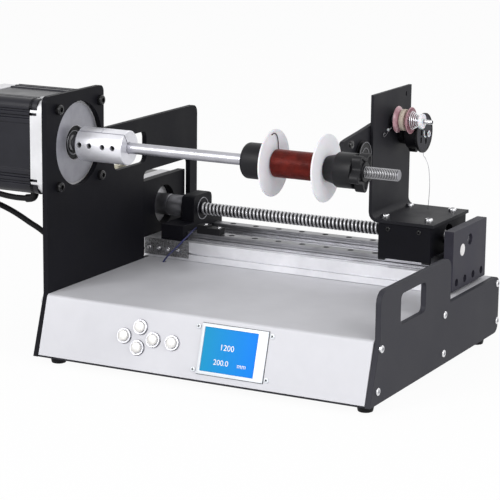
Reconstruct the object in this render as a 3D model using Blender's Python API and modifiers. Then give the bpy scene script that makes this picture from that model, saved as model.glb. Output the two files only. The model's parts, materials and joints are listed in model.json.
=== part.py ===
"""Automatic coil winding machine: a motor-driven spindle that turns a bobbin, and a
ball-screw traverse that lays the wire along it. Blender 4.5, metres, +Z up.

X runs from the spindle motor to the open end of the spindle, Y to the back, Z up.
The world origin is on the floor, under the centre of the machine without its loose cable."""

import math

import bmesh
import bpy
from mathutils import Matrix, Vector

# Overall layout. Heights in the machine's own frame are measured from the spindle axis,
# x from the inner face of the left plate and y from the spindle axis to the back.
gap = 0.0003
plate_gap = 0.320
plate_t = 0.005
spindle_rise = 0.1288
base_height = 0.0541
foot_height = 0.006
foot_r = 0.0075
foot_left_inset = 0.0135
foot_right_inset = 0.005
foot_front_inset = 0.0135
foot_back_inset = 0.029

# Side plates
plate_front = 0.0538
slant_run = 0.0178
plate_back = 0.2183
column_back = 0.0421
column_top = 0.0482
column_corner = 0.006
step_corner = 0.008
rear_arm_top = 0.0075
window_front = 0.060
window_back = 0.119
window_top = -0.0055
window_bottom = -0.0355
window_corner = 0.006
pass_front = 0.114
pass_back = 0.204
pass_top = -0.0442
right_top = -0.0876
right_high_back = 0.098
right_corner = 0.011
handle_front = -0.012
handle_back = 0.041
handle_low = 0.0043
handle_height = 0.0265
handle_corner = 0.005

# Folded cover, bottom and rear sheets
sheet_t = 0.0015
cover_proud = 0.0016
bend_r = 0.002
rear_panel_inset = 0.004
wire_hole_x = 0.0242
wire_hole_y = 0.110
wire_hole_r = 0.003

# Front panel controls, measured along the panel from its lower edge
button_ring_r = 0.0065
button_cap_r = 0.005
button_ring_h = 0.0022
button_cap_h = 0.0042
button_travel = 0.0012
button_barrel_r = 0.0058
button_barrel_depth = 0.009
button_board_sink = 0.0008
button_places = {
    "button_up": (0.1003, 0.0396),
    "button_left": (0.0853, 0.0301),
    "button_right": (0.1145, 0.0301),
    "button_down": (0.0998, 0.0214),
    "button_enter": (0.1335, 0.0299),
}
display_left = 0.1608
display_right = 0.2245
display_low = 0.0074
display_high = 0.0513
display_border = 0.0028
display_border_right = 0.0090
display_frame_h = 0.0016
display_recess = 0.0008

# Spindle motor
motor_size = 0.086
motor_corner = 0.012
motor_bolt_pitch = 0.0696
motor_bolt_r = 0.0032
motor_pilot_r = 0.0365
motor_bell_t = 0.0194
motor_pilot_sink = 0.0044
motor_pilot_play = 0.0018
motor_body_l = 0.0632
motor_rear_l = 0.0148
motor_shaft_r = 0.007
motor_shaft_reach = 0.027

# Spindle train
coupling_start = 0.0045
coupling_l = 0.048
coupling_r = 0.0155
coupling_hole_steps = (0.0048, 0.0152, 0.0289, 0.0394)
coupling_hole_r = 0.0026
coupling_hole_depth = 0.0060
rod_r = 0.005
rod_start = 0.0295
rod_end = 0.315
cup_start = 0.1705
cup_l = 0.0256
cup_r = 0.01575
cup_round = 0.004
flange_r = 0.02925
flange_t = 0.0016
bobbin_l = 0.0515
cone_l = 0.0273
cone_tip_r = 0.011
cone_body_r = 0.0152
cone_tip_l = 0.0082
cone_bevel_l = 0.0035
knob_l = 0.0085
knob_lobes = 5
knob_mid_r = 0.0148
knob_lobe_h = 0.0028

# Winding: one layer of loops over the bobbin's barrel
winding_r = 0.01225
winding_wire_r = 0.00075
winding_gap = 0.00048
winding_end_room = 0.0016
loop_points = 24
lead_hole_r = 0.0262
lead_hole_angle = math.radians(105.0)
lead_sweep = math.radians(65.0)
lead_corner = 0.0012
tail_rise = 0.0030
tail_steps = 9

# Linear module
module_y = 0.163
module_w = 0.080
module_h = 0.018
slot_depth = 0.003
slot_low = 0.0062
slot_w = 0.0016
rail_w = 0.012
rail_h = 0.008
rail_spacing = 0.050
screw_axis_z = -0.0845
screw_r = 0.006
journal_r = 0.004
end_journal_r = 0.005
traverse_plate_t = 0.008
traverse_plate_top = -0.056
traverse_plate_hole_r = 0.019
traverse_motor_size = 0.0564
traverse_motor_corner = 0.005
traverse_motor_l = 0.056
traverse_shaft_r = 0.00318
traverse_shaft_reach = 0.0193
traverse_coupling_start = -0.0045
traverse_coupling_l = 0.0237
traverse_coupling_r = 0.0105
bearing_block_start = 0.024
bearing_block_t = 0.0137
bearing_block_top = -0.0700
bearing_block_w = 0.036
bearing_foot_start = 0.0135
bearing_foot_w = 0.0784
bearing_foot_top = -0.0955
bearing_block_chamfer = 0.005
end_block_start = 0.307
end_block_t = 0.009
end_block_top = -0.0710
end_block_lift = 0.0023
end_hole_r = 0.0037
end_hole_pitch = 0.020
end_hole_z = -0.1193
sensor_start = 0.0500
sensor_l = 0.0108
sensor_base_l = 0.0245
sensor_base_top = -0.0956
sensor_w = 0.011
sensor_y = 0.1345
sensor_top = -0.0937

# Carriage and guides
carriage_start = 0.243
carriage_l = 0.0515
carriage_side = 0.0020
carriage_top = -0.0698
carriage_skirt_z = -0.1020
carriage_skirt_t = 0.0025
guide_block_w = 0.027
guide_block_top = -0.0975
guide_block_z = -0.1050
guide_block_inset = 0.0025
nut_r = 0.0115
nut_inset = 0.006

# Wire bracket and what it carries
bracket_start = 0.233
bracket_t = 0.003
bracket_front = 0.1205
bracket_back = 0.2055
bracket_top = 0.0465
bracket_foot_l = 0.064
bracket_bend_r = 0.006
bracket_slot_in = 0.012
bracket_slot_drop = 0.0073
bracket_slot_w = 0.002
bracket_slot_h = 0.004
arm_t = 0.004
arm_back = 0.160
arm_nose = 0.0615
arm_nose_low = 0.0040
arm_brow = 0.0650
arm_brow_z = 0.0115
arm_step = 0.0735
arm_step_z = 0.0130
arm_top = 0.1015
arm_top_z = 0.0162
arm_rise = 0.1245
arm_rise_z = 0.0193
arm_high_z = 0.0230
arm_low_z = -0.0300
arm_heel = 0.1400
arm_throat = 0.1187
arm_throat_z = -0.0042
arm_belly_back = 0.1110
arm_belly = 0.0930
arm_belly_z = -0.0130
arm_chin = 0.0690
arm_chin_z = -0.0010
pulley_y = 0.102
pulley_z = -0.006
pulley_r = 0.0135
pulley_groove_r = 0.0105
pulley_l = 0.0042
pulley_pin_r = 0.0020
pulley_head_r = 0.0036
pulley_head_h = 0.0012
stud_y = 0.163
stud_z = 0.0195
stud_r = 0.002
stud_end = 0.2755
stud_spacer_l = 0.0045
stud_spacer_r = 0.004
disc_r = 0.01235
disc_l = 0.0040
disc_rim = 0.0009
washer_l = 0.0052
washer_r = 0.0105
spring_start_r = 0.0082
spring_end_r = 0.0044
spring_wire_r = 0.00038
spring_curls = 6
curl_points = 10
spring_l = 0.0081
tension_nut_r = 0.0070
tension_nut_l = 0.0034
dial_y = 0.187
dial_z = 0.005
dial_body_r = 0.0118
dial_body_l = 0.019
dial_r = 0.0185
dial_l = 0.0028
dial_hub_r = 0.004

# Power inlet, switch and electronics in the base
inlet_x = 0.255
inlet_rise = 0.027
inlet_w = 0.031
inlet_h = 0.024
inlet_flange = 0.0035
inlet_flange_t = 0.0020
inlet_depth = 0.022
inlet_wall = 0.0025
switch_w = 0.0130
switch_h = 0.0190
switch_well = 0.0060
rocker_t = 0.0024
rocker_swing = math.radians(10.0)
supply_start = 0.070
supply_l = 0.130
supply_front = 0.075
supply_w = 0.098
supply_h = 0.038
board_start = 0.076
board_l = 0.066
board_front = -0.045
board_w = 0.070
board_t = 0.0016
board_post_h = 0.010
board_post_r = 0.003

# Cords
motor_cable_r = 0.0027
cable_straight = 0.0120
boot_l = 0.012
boot_w = 0.009
boot_h = 0.0092
boot_y = -0.030
boot_end_inset = 0.0065
gland_y = 0.060
gland_drop = 0.0212
gland_r = 0.0062
gland_l = 0.011
sensor_cable_r = 0.0008
sensor_cable_lift = 0.0015
tail_r = 0.00025

# Derived places
base_top = -spindle_rise
base_bottom = base_top - base_height
motor_l = motor_bell_t + motor_body_l + motor_rear_l
left_end = -plate_t - 3 * gap - motor_l
right_end = plate_gap + plate_t
front_end = -plate_front - slant_run
centre_x = (left_end + right_end) / 2
centre_y = (front_end + plate_back) / 2
floor_z = base_bottom - gap - foot_height
outer_right = plate_gap + plate_t
flange_start = cup_start + cup_l + gap
flange_end = flange_start + bobbin_l
cone_start = flange_end + gap
cone_end = cone_start + cone_l
knob_start = cone_end + gap
module_bottom = base_top + gap
module_top = module_bottom + module_h
module_front = module_y - module_w / 2
module_back = module_y + module_w / 2
rail_top = module_top + gap + rail_h
traverse_plate_end = -plate_t - gap
traverse_plate_start = traverse_plate_end - traverse_plate_t
module_start = traverse_plate_end + gap
module_end = end_block_start - gap
bearing_block_end = bearing_block_start + bearing_block_t
rail_start = bearing_block_end + gap
carriage_end = carriage_start + carriage_l
upright_face = bracket_start + bracket_t
foot_bottom = carriage_top + gap
foot_top = foot_bottom + bracket_t
arm_start = bracket_start - gap - arm_t
panel_angle = math.atan2(base_height, slant_run - cover_proud)
rear_panel_y = plate_back - rear_panel_inset

objects = bpy.data.objects
for old in list(objects):
    objects.remove(old, do_unlink=True)

parts = bpy.data.collections.new("winding_machine")
cutters = bpy.data.collections.new("cutters")
bpy.context.scene.collection.children.link(parts)
bpy.context.scene.collection.children.link(cutters)


def at(x, y, z):
    """World place of a point given in the machine's own frame."""
    return Vector((x - centre_x, y - centre_y, z - floor_z))


def material(name, color, roughness, metallic=0.0):
    mat = bpy.data.materials.new(name)
    mat.use_nodes = True
    shader = mat.node_tree.nodes["Principled BSDF"]
    shader.inputs["Base Color"].default_value = (*color, 1.0)
    shader.inputs["Roughness"].default_value = roughness
    shader.inputs["Metallic"].default_value = metallic
    return mat


black_metal = material("black_anodised", (0.025, 0.025, 0.028), 0.45, 0.6)
black_paint = material("black_paint", (0.02, 0.02, 0.022), 0.5)
silver_sheet = material("silver_sheet", (0.62, 0.62, 0.64), 0.4, 0.8)
aluminium = material("aluminium", (0.72, 0.72, 0.74), 0.35, 0.9)
steel = material("steel", (0.6, 0.6, 0.62), 0.25, 1.0)
black_plastic = material("black_plastic", (0.015, 0.015, 0.015), 0.4)
black_rubber = material("black_rubber", (0.02, 0.02, 0.02), 0.8)
white_plastic = material("white_plastic", (0.85, 0.85, 0.85), 0.45)
enamelled_wire = material("enamelled_wire", (0.32, 0.05, 0.02), 0.3, 0.6)
blue_screen = material("blue_screen", (0.05, 0.35, 0.8), 0.2)
green_board = material("green_board", (0.03, 0.2, 0.08), 0.5)
pink_ceramic = material("pink_ceramic", (0.65, 0.3, 0.33), 0.3)
cream_felt = material("cream_felt", (0.7, 0.62, 0.5), 0.8)
blue_cable = material("blue_cable", (0.02, 0.02, 0.12), 0.5)


def add(name, data, mat, place=(0, 0, 0), turn=None, parent=None, collection=parts):
    """Adds one named object with its own material."""
    ob = objects.new(name, data)
    collection.objects.link(ob)
    ob.location = place
    if turn is not None:
        ob.rotation_euler = turn
    if parent is not None:
        ob.parent = parent
    data.materials.clear()
    if mat is not None:
        data.materials.append(mat)
    return ob


rail_sides = {"front": -1, "back": 1}

# Turns that lay a drawing on the machine: x, y of the drawing and its thickness z
facing_x = (math.pi / 2, 0, math.pi / 2)
along_x = (0, math.pi / 2, 0)
panel_turn = (panel_angle, 0, 0)
rear_turn = (math.pi / 2, 0, math.pi)


def smooth(mesh, angle=35.0):
    mesh.shade_smooth()
    mesh.set_sharp_from_angle(angle=math.radians(angle))


def bevel(ob, width, segments=2, limit=40.0):
    mod = ob.modifiers.new("Bevel", "BEVEL")
    mod.width = width
    mod.segments = segments
    mod.limit_method = "ANGLE"
    mod.angle_limit = math.radians(limit)


def box_mesh(name, low, high):
    """A box between two corners, in the object's own frame."""
    mesh = bpy.data.meshes.new(name)
    bm = bmesh.new()
    bmesh.ops.create_cube(bm, size=1.0)
    low, high = Vector(low), Vector(high)
    size = high - low
    bmesh.ops.scale(bm, vec=size, verts=bm.verts)
    bmesh.ops.translate(bm, vec=(low + high) / 2, verts=bm.verts)
    bm.to_mesh(mesh)
    bm.free()
    return mesh


def box(name, mat, low, high, round_r=0.0, parent=None, segments=2):
    """A box given by two corners in the machine's frame, placed by its centre."""
    low, high = Vector(low), Vector(high)
    half = (high - low) / 2
    ob = add(name, box_mesh(name, -half, half), mat, at(*((low + high) / 2)), parent=parent)
    if round_r:
        bevel(ob, round_r, segments)
    return ob


def cylinder_mesh(name, radius, length, sides=32):
    """A cylinder along local Z, from 0 to its length."""
    mesh = bpy.data.meshes.new(name)
    bm = bmesh.new()
    bmesh.ops.create_cone(
        bm, cap_ends=True, segments=sides, radius1=radius, radius2=radius, depth=length
    )
    bmesh.ops.translate(bm, vec=(0, 0, length / 2), verts=bm.verts)
    bm.to_mesh(mesh)
    bm.free()
    smooth(mesh)
    return mesh


def rod(name, mat, radius, start, end, y=0.0, z=0.0, sides=32, parent=None):
    """A cylinder along X between two places of the machine."""
    mesh = cylinder_mesh(name, radius, end - start, sides)
    return add(name, mesh, mat, at(start, y, z), along_x, parent)


def turned(name, mat, profile, place, steps=32, turn=along_x, parent=None):
    """A turned piece: (radius, place along the axis) points, from the far end of the outer
    side down and back up the bore, or on the axis where it has none."""
    mesh = bpy.data.meshes.new(name)
    verts = [(r, 0, z) for r, z in profile]
    closed = profile[0][0] > 0 or profile[-1][0] > 0
    edges = [(i, i + 1) for i in range(len(verts) - 1)]
    if closed:
        edges.append((len(verts) - 1, 0))
    mesh.from_pydata(verts, edges, [])
    ob = add(name, mesh, mat, place, turn, parent)
    screw = ob.modifiers.new("Screw", "SCREW")
    screw.steps = steps
    screw.render_steps = steps
    screw.use_merge_vertices = True
    screw.merge_threshold = 0.00001
    screw.use_smooth_shade = True
    return ob


def ring_profile(outer_r, bore_r, length):
    return [(outer_r, length), (outer_r, 0), (bore_r, 0), (bore_r, length)]


def ring(name, mat, outer_r, bore_r, start, length, y=0.0, z=0.0, steps=32, parent=None):
    profile = ring_profile(outer_r, bore_r, length)
    return turned(name, mat, profile, at(start, y, z), steps, parent=parent)


def rounded(corners, steps=4):
    """An outline with round corners, from (x, y, corner radius) triples."""
    outline = []
    count = len(corners)
    for i, (x, y, radius) in enumerate(corners):
        here = Vector((x, y))
        before = Vector(corners[i - 1][:2]) - here
        after = Vector(corners[(i + 1) % count][:2]) - here
        if radius <= 0:
            outline.append(here)
            continue
        before.normalize()
        after.normalize()
        half = before.angle(after) / 2
        reach = radius / math.tan(half)
        centre = here + (before + after).normalized() * radius / math.sin(half)
        first = here + before * reach - centre
        sweep = math.atan2(first.cross(here + after * reach - centre),
                           first.dot(here + after * reach - centre))
        for k in range(steps + 1):
            outline.append(centre + Matrix.Rotation(sweep * k / steps, 2) @ first)
    return outline


def circle(x, y, radius, steps=24):
    turn = 2 * math.pi / steps
    return [Vector((x + radius * math.cos(turn * i), y + radius * math.sin(turn * i)))
            for i in range(steps)]


def rectangle(x0, y0, x1, y1, radius=0.0):
    corners = ((x0, y0, radius), (x1, y0, radius), (x1, y1, radius), (x0, y1, radius))
    return rounded(corners)


def flat(name, mat, outlines, thickness, place, turn=facing_x, parent=None):
    """A flat piece cut from one outline and its holes, centred on its thickness."""
    curve = bpy.data.curves.new(name, "CURVE")
    curve.dimensions = "2D"
    curve.fill_mode = "BOTH"
    curve.extrude = thickness / 2
    for outline in outlines:
        spline = curve.splines.new("POLY")
        spline.points.add(len(outline) - 1)
        for point, (x, y) in zip(spline.points, outline):
            point.co = (x, y, 0, 1)
        spline.use_cyclic_u = True
    return add(name, curve, mat, place, turn, parent)


def to_mesh(ob):
    """Replaces a curve object with the welded mesh that it makes, at the same place."""
    graph = bpy.context.evaluated_depsgraph_get()
    mesh = bpy.data.meshes.new_from_object(ob.evaluated_get(graph))
    bm = bmesh.new()
    bm.from_mesh(mesh)
    bmesh.ops.remove_doubles(bm, verts=bm.verts, dist=0.000005)
    bmesh.ops.recalc_face_normals(bm, faces=bm.faces)
    bm.to_mesh(mesh)
    bm.free()
    name, place, parent = ob.name, ob.matrix_world.copy(), ob.parent
    mat = ob.data.materials[0] if ob.data.materials else None
    collection = ob.users_collection[0]
    objects.remove(ob, do_unlink=True)
    new = add(name, mesh, mat, collection=collection)
    new.matrix_world = place
    if parent is not None:
        new.parent = parent
        new.matrix_parent_inverse = parent.matrix_world.inverted()
    return new


def cut(ob, cutter):
    """Cuts a closed mesh out of another with an exact boolean."""
    combine(ob, cutter, "DIFFERENCE")


def combine(ob, tool, operation):
    """Keeps a tool in the cutters' collection and applies it to a piece as a live boolean."""
    tool.hide_render = True
    tool.display_type = "WIRE"
    for collection in list(tool.users_collection):
        collection.objects.unlink(tool)
    cutters.objects.link(tool)
    mod = ob.modifiers.new(operation.title() + " " + tool.name, "BOOLEAN")
    mod.operation = operation
    mod.solver = "EXACT"
    mod.object = tool


def smooth_route(points, spacing):
    """Points at even steps along one smooth curve through a route's own points."""
    pts = [Vector(p) for p in points]
    pts = [pts[0] * 2 - pts[1]] + pts + [pts[-1] * 2 - pts[-2]]
    fine = []
    for a, b, c, d in zip(pts, pts[1:], pts[2:], pts[3:]):
        for k in range(24):
            t = k / 24
            fine.append(0.5 * (2 * b + (c - a) * t + (2 * a - 5 * b + 4 * c - d) * t**2
                               + (3 * b - a - 3 * c + d) * t**3))
    fine.append(pts[-2])
    total = sum((b - a).length for a, b in zip(fine, fine[1:]))
    count = max(2, round(total / spacing))
    step = total / count
    even = [fine[0]]
    walked = 0.0
    for a, b in zip(fine, fine[1:]):
        length = (b - a).length
        while walked + length >= step * len(even) and len(even) < count:
            even.append(a.lerp(b, (step * len(even) - walked) / length))
        walked += length
    even.append(fine[-1])
    return even


def tube(name, mat, points, radius, sides=2, place=(0, 0, 0), turn=None, parent=None):
    """A tube along a line of points, closed at both ends."""
    curve = bpy.data.curves.new(name, "CURVE")
    curve.dimensions = "3D"
    curve.bevel_depth = radius
    curve.bevel_resolution = sides
    curve.use_fill_caps = True
    spline = curve.splines.new("POLY")
    spline.points.add(len(points) - 1)
    for point, co in zip(spline.points, points):
        point.co = (*co, 1)
    return add(name, curve, mat, place, turn, parent)


def least_self_gap(points, radius, apart):
    """Least clear distance between stretches of a tube that lie some points apart."""
    least = min((points[i] - points[j]).length
                for i in range(len(points)) for j in range(i + apart, len(points)))
    return least - 2 * radius


def pivot(name, place, parent=None):
    """An empty on a joint's axis, which carries the pieces that move together."""
    empty = objects.new(name, None)
    parts.objects.link(empty)
    empty.location = place
    empty.empty_display_size = 0.01
    return empty


def hang(ob, empty):
    """Parents a piece to an empty and leaves it where it is."""
    bpy.context.view_layer.update()
    ob.parent = empty
    ob.matrix_parent_inverse = empty.matrix_world.inverted()


def make_side_plates():
    front = -plate_front
    outline = rounded((
        (front, base_top, 0),
        (front, column_top, column_corner),
        (column_back, column_top, column_corner),
        (column_back, rear_arm_top, 0),
        (plate_back, rear_arm_top, step_corner),
        (plate_back, base_bottom, step_corner),
        (front_end, base_bottom, 0),
    ))
    half = motor_bolt_pitch / 2
    holes = [circle(0, 0, motor_pilot_r + motor_pilot_play, 48)]
    holes += [circle(sy * half, sz * half, motor_bolt_r, 12) for sy in (-1, 1) for sz in (-1, 1)]
    holes.append(rectangle(window_front, window_bottom, window_back, window_top, window_corner))
    holes.append(rounded((
        (pass_front, base_top, 0),
        (pass_back, base_top, 0),
        (pass_back, pass_top, window_corner),
        (pass_front, pass_top, window_corner),
    )))
    flat("left_side_plate", black_metal, [outline] + holes, plate_t, at(-plate_t / 2, 0, 0))

    outline = rounded((
        (front, base_top, 0),
        (front, right_top, right_corner),
        (right_high_back, right_top, right_corner),
        (right_high_back, base_top, 0),
        (plate_back, base_top, step_corner),
        (plate_back, base_bottom, step_corner),
        (front_end, base_bottom, 0),
    ))
    low = base_top + handle_low
    handle = rectangle(handle_front, low, handle_back, low + handle_height, handle_corner)
    flat("right_side_plate", black_metal, [outline, handle], plate_t,
         at(plate_gap + plate_t / 2, 0, 0))


def panel_point(x, up, out=0.0):
    """A place on the slanted front panel: along X, up the panel and out of its face."""
    run = Vector((0, math.cos(panel_angle), math.sin(panel_angle)))
    normal = Vector((0, -math.sin(panel_angle), math.cos(panel_angle)))
    start = Vector((x, front_end, base_bottom))
    return start + run * up + normal * out


def make_cover():
    """One folded sheet: slanted front, top and rear, with the sheet that closes it below."""
    front_top = Vector((-plate_front - cover_proud, base_top))
    front_low = Vector((front_end, base_bottom))
    run = (front_top - front_low).normalized()
    inward = Vector((run.y, -run.x))
    lower = base_bottom + sheet_t + gap
    low = front_low + run * (lower - base_bottom) / run.y
    back = rear_panel_y
    inner_fold = front_top + inward * sheet_t
    inner_fold += run * (base_top - sheet_t - inner_fold.y) / run.y
    inner_low = low + inward * sheet_t
    inner_low += run * (lower - inner_low.y) / run.y
    outline = rounded((
        (back, base_top, bend_r + sheet_t),
        (front_top.x, front_top.y, bend_r + sheet_t),
        (low.x, low.y, 0),
        (inner_low.x, inner_low.y, 0),
        (inner_fold.x, inner_fold.y, bend_r),
        (back - sheet_t, base_top - sheet_t, bend_r),
        (back - sheet_t, lower, 0),
        (back, lower, 0),
    ))
    width = plate_gap - 2 * gap
    cover = to_mesh(flat("base_cover", silver_sheet, [outline], width, at(plate_gap / 2, 0, 0)))

    for name, (x, up) in button_places.items():
        hole = add("hole_" + name, cylinder_mesh("hole", button_barrel_r + gap, 0.012, 24), None,
                   at(*panel_point(x, up, -0.006)), panel_turn)
        cut(cover, hole)
    window = add("hole_display",
                 box_mesh("hole", (display_left - gap, display_low - gap, -0.006),
                          (display_right + gap, display_high + gap, 0.006)),
                 None, at(*panel_point(0, 0)), panel_turn)
    cut(cover, window)
    wire = add("hole_wire", cylinder_mesh("hole", wire_hole_r, 0.006, 16), None,
               at(wire_hole_x, wire_hole_y, base_top - 0.003))
    cut(cover, wire)
    left, right = -inlet_w / 2 - gap, inlet_w / 2 + switch_w + gap
    high = inlet_h / 2 + gap
    opening = add("hole_inlet", box_mesh("hole", (left, -high, -0.005), (right, high, 0.005)),
                  None, at(inlet_x, rear_panel_y, base_bottom + inlet_rise), rear_turn)
    cut(cover, opening)

    floor_front = front_end + (sheet_t + gap) / math.tan(panel_angle)
    box("bottom_plate", black_paint, (gap, floor_front, base_bottom),
        (plate_gap - gap, rear_panel_y, base_bottom + sheet_t))

    for side, x in (("left", foot_left_inset), ("right", plate_gap - foot_right_inset)):
        for end, y in (("front", front_end + foot_front_inset),
                       ("back", plate_back - foot_back_inset)):
            name = "foot_%s_%s" % (end, side)
            foot = cylinder_mesh(name, foot_r, foot_height, 20)
            add(name, foot, black_rubber, at(x, y, base_bottom - gap - foot_height))


def make_buttons():
    """Five caps in one block: a board behind the panel that carries their round bodies."""
    cap_bore = button_cap_r + gap
    depth = button_travel + 2 * gap
    profile = [
        (button_ring_r, button_ring_h),
        (button_ring_r, gap),
        (button_barrel_r, gap),
        (button_barrel_r, -button_barrel_depth),
        (0, -button_barrel_depth),
        (0, gap - depth),
        (cap_bore, gap - depth),
        (cap_bore, button_ring_h),
    ]
    across = [x for x, up in button_places.values()]
    along = [up for x, up in button_places.values()]
    edge = button_ring_r
    top = button_board_sink - button_barrel_depth
    block = add("button_block",
                box_mesh("button_block", (min(across) - edge, min(along) - edge, top - board_t),
                         (max(across) + edge, max(along) + edge, top)),
                aluminium, at(*panel_point(0, 0)), panel_turn)
    for name, (x, up) in button_places.items():
        place = at(*panel_point(x, up))
        combine(block, turned("body_" + name, None, profile, place, 20, panel_turn), "UNION")
        cap = add(name, cylinder_mesh(name, button_cap_r, button_cap_h - gap, 20), aluminium,
                  at(*panel_point(x, up, gap)), panel_turn)
        bevel(cap, 0.0004, 1)


def make_display():
    back = -sheet_t - gap
    border, wide = display_border, display_border_right
    width, height = display_right - display_left, display_high - display_low
    frame = [rectangle(0, 0, width, height, 0.0012),
             rectangle(border, border, width - wide, height - border)]
    flat("display_frame", aluminium, frame, display_frame_h - back,
         at(*panel_point(display_left, display_low, (display_frame_h + back) / 2)), panel_turn)
    fit = border + gap
    add("display_screen",
        box_mesh("display_screen", (fit, fit, back),
                 (width - wide - gap, height - fit, display_frame_h - display_recess)),
        blue_screen, at(*panel_point(display_left, display_low)), panel_turn)


def motor_square(size, corner):
    half = size / 2
    return rounded(tuple((sy * half, sz * half, corner)
                         for sy, sz in ((-1, -1), (1, -1), (1, 1), (-1, 1))), 3)


def make_spindle_motor():
    end = -plate_t - gap
    start = end - motor_bell_t
    bell = to_mesh(flat("motor_front_bell", aluminium, [motor_square(motor_size, motor_corner)],
                        motor_bell_t, at((start + end) / 2, 0, 0)))
    sink = motor_pilot_sink
    pilot = ring("motor_pilot", None, motor_pilot_r, motor_shaft_r + gap, end - sink,
                 -end, steps=48)
    combine(bell, pilot, "UNION")
    body_end = start - gap
    body = to_mesh(flat("motor_body", black_paint,
                        [motor_square(motor_size, motor_corner * 0.8)], motor_body_l,
                        at(body_end - motor_body_l / 2, 0, 0)))
    boot_start = body_end - boot_l
    low = -motor_size / 2
    boot = box("cable_boot", None, (boot_start, boot_y - boot_w / 2, low - boot_h),
               (body_end, boot_y + boot_w / 2, low + 0.002))
    combine(body, boot, "UNION")
    rear_start = body_end - motor_body_l - gap - motor_rear_l
    flat("motor_rear_bell", aluminium, [motor_square(motor_size - 0.0006, motor_corner)],
         motor_rear_l, at(rear_start + motor_rear_l / 2, 0, 0))
    return boot_start


def make_spindle():
    spin = pivot("spindle_axis", at(0, 0, 0))
    shaft = rod("motor_shaft", steel, motor_shaft_r, -plate_t + gap, motor_shaft_reach)
    step = rod_start - gap - coupling_start
    coupling = turned("shaft_coupling", aluminium, [
        (coupling_r - 0.0005, coupling_l),
        (coupling_r, coupling_l - 0.0005),
        (coupling_r, 0.0005),
        (coupling_r - 0.0005, 0),
        (motor_shaft_r + gap, 0),
        (motor_shaft_r + gap, step),
        (rod_r + gap, step),
        (rod_r + gap, coupling_l),
    ], at(coupling_start, 0, 0), 40)
    for i, along in enumerate(coupling_hole_steps):
        hole = add("hole_coupling_%d" % i,
                   cylinder_mesh("hole", coupling_hole_r, coupling_hole_depth * 2, 12), None,
                   at(coupling_start + along, coupling_hole_depth - coupling_r, 0),
                   (math.pi / 2, 0, 0))
        cut(coupling, hole)
    bar_l = rod_end - rod_start
    bar = turned("spindle_rod", steel, [
        (0, bar_l), (rod_r - 0.001, bar_l), (rod_r, bar_l - 0.001), (rod_r, 0), (0, 0),
    ], at(rod_start, 0, 0))
    corner = [(cup_r - cup_round + cup_round * math.cos(a), cup_round - cup_round * math.sin(a))
              for a in (0, math.pi / 6, math.pi / 3, math.pi / 2)]
    cup = turned("drive_cup", black_plastic,
                 [(cup_r, cup_l)] + corner + [(rod_r + gap, 0), (rod_r + gap, cup_l)],
                 at(cup_start, 0, 0), 36)
    barrel_r = winding_r - 2 * winding_wire_r - gap
    spool = turned("bobbin", white_plastic, [
        (flange_r, bobbin_l),
        (flange_r, bobbin_l - flange_t),
        (barrel_r, bobbin_l - flange_t),
        (barrel_r, flange_t),
        (flange_r, flange_t),
        (flange_r, 0),
        (rod_r + gap, 0),
        (rod_r + gap, bobbin_l),
    ], at(flange_start, 0, 0), 48)
    wound = make_winding(flange_start + flange_t + gap, flange_end - flange_t - gap)
    for ob in (shaft, coupling, bar, cup, spool, wound):
        hang(ob, spin)


def wound_point(x, radius, angle):
    return Vector((x, radius * math.cos(angle), radius * math.sin(angle)))


def corner_points(a, b, c):
    """A short curve from a to c that leaves and arrives along the sides of the corner b."""
    return [a * (1 - t) ** 2 + b * 2 * t * (1 - t) + c * t * t for t in (0.33, 0.67, 1.0)]


def make_winding(start, end):
    """A lead that comes out of the left flange, an even helix and a tail into the right one."""
    wire = 2 * winding_wire_r
    pitch = wire + winding_gap
    lay_r = winding_r - winding_wire_r
    turn = 2 * math.pi / loop_points
    first = start + wire + lead_corner + winding_gap / 2
    winding_loops = int((end - wire - winding_end_room - first) / pitch)
    first_angle = lead_hole_angle - lead_sweep
    plane = start + wire + lead_corner

    lead = [wound_point(start, lead_hole_r, lead_hole_angle),
            wound_point(start + wire, lead_hole_r, lead_hole_angle)]
    steps = 22
    spiral = []
    for k in range(2, steps):
        t = k / steps
        spiral.append(wound_point(plane + (first - plane) * t**4,
                                  lay_r + (lead_hole_r - lay_r) * (1 - t) ** 2,
                                  lead_hole_angle - lead_sweep * t))
    lead += corner_points(lead[-1], wound_point(plane, lead_hole_r, lead_hole_angle), spiral[0])
    helix = [wound_point(first + pitch * i / loop_points, lay_r, first_angle - turn * i)
             for i in range(winding_loops * loop_points + 1)]
    last_angle = first_angle - turn * winding_loops * loop_points
    tail = []
    for k in range(1, tail_steps):
        t = k / tail_steps
        tail.append(wound_point(first + pitch * (winding_loops + k / loop_points),
                                lay_r + tail_rise * t * t, last_angle - turn * k))
    foot = wound_point(end, lay_r + tail_rise, last_angle - turn * tail_steps)
    before = foot - Vector((wire, 0, 0))
    knee = before.copy()
    knee.x = tail[-1].x
    points = lead + spiral[1:] + helix + tail + corner_points(tail[-1], knee, before) + [foot]
    clear = least_self_gap(points, winding_wire_r, loop_points // 2)
    print("winding: least gap to itself %.3f mm" % (clear * 1000))
    return tube("wound_wire", enamelled_wire, points, winding_wire_r, 1, at(0, 0, 0))


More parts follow.
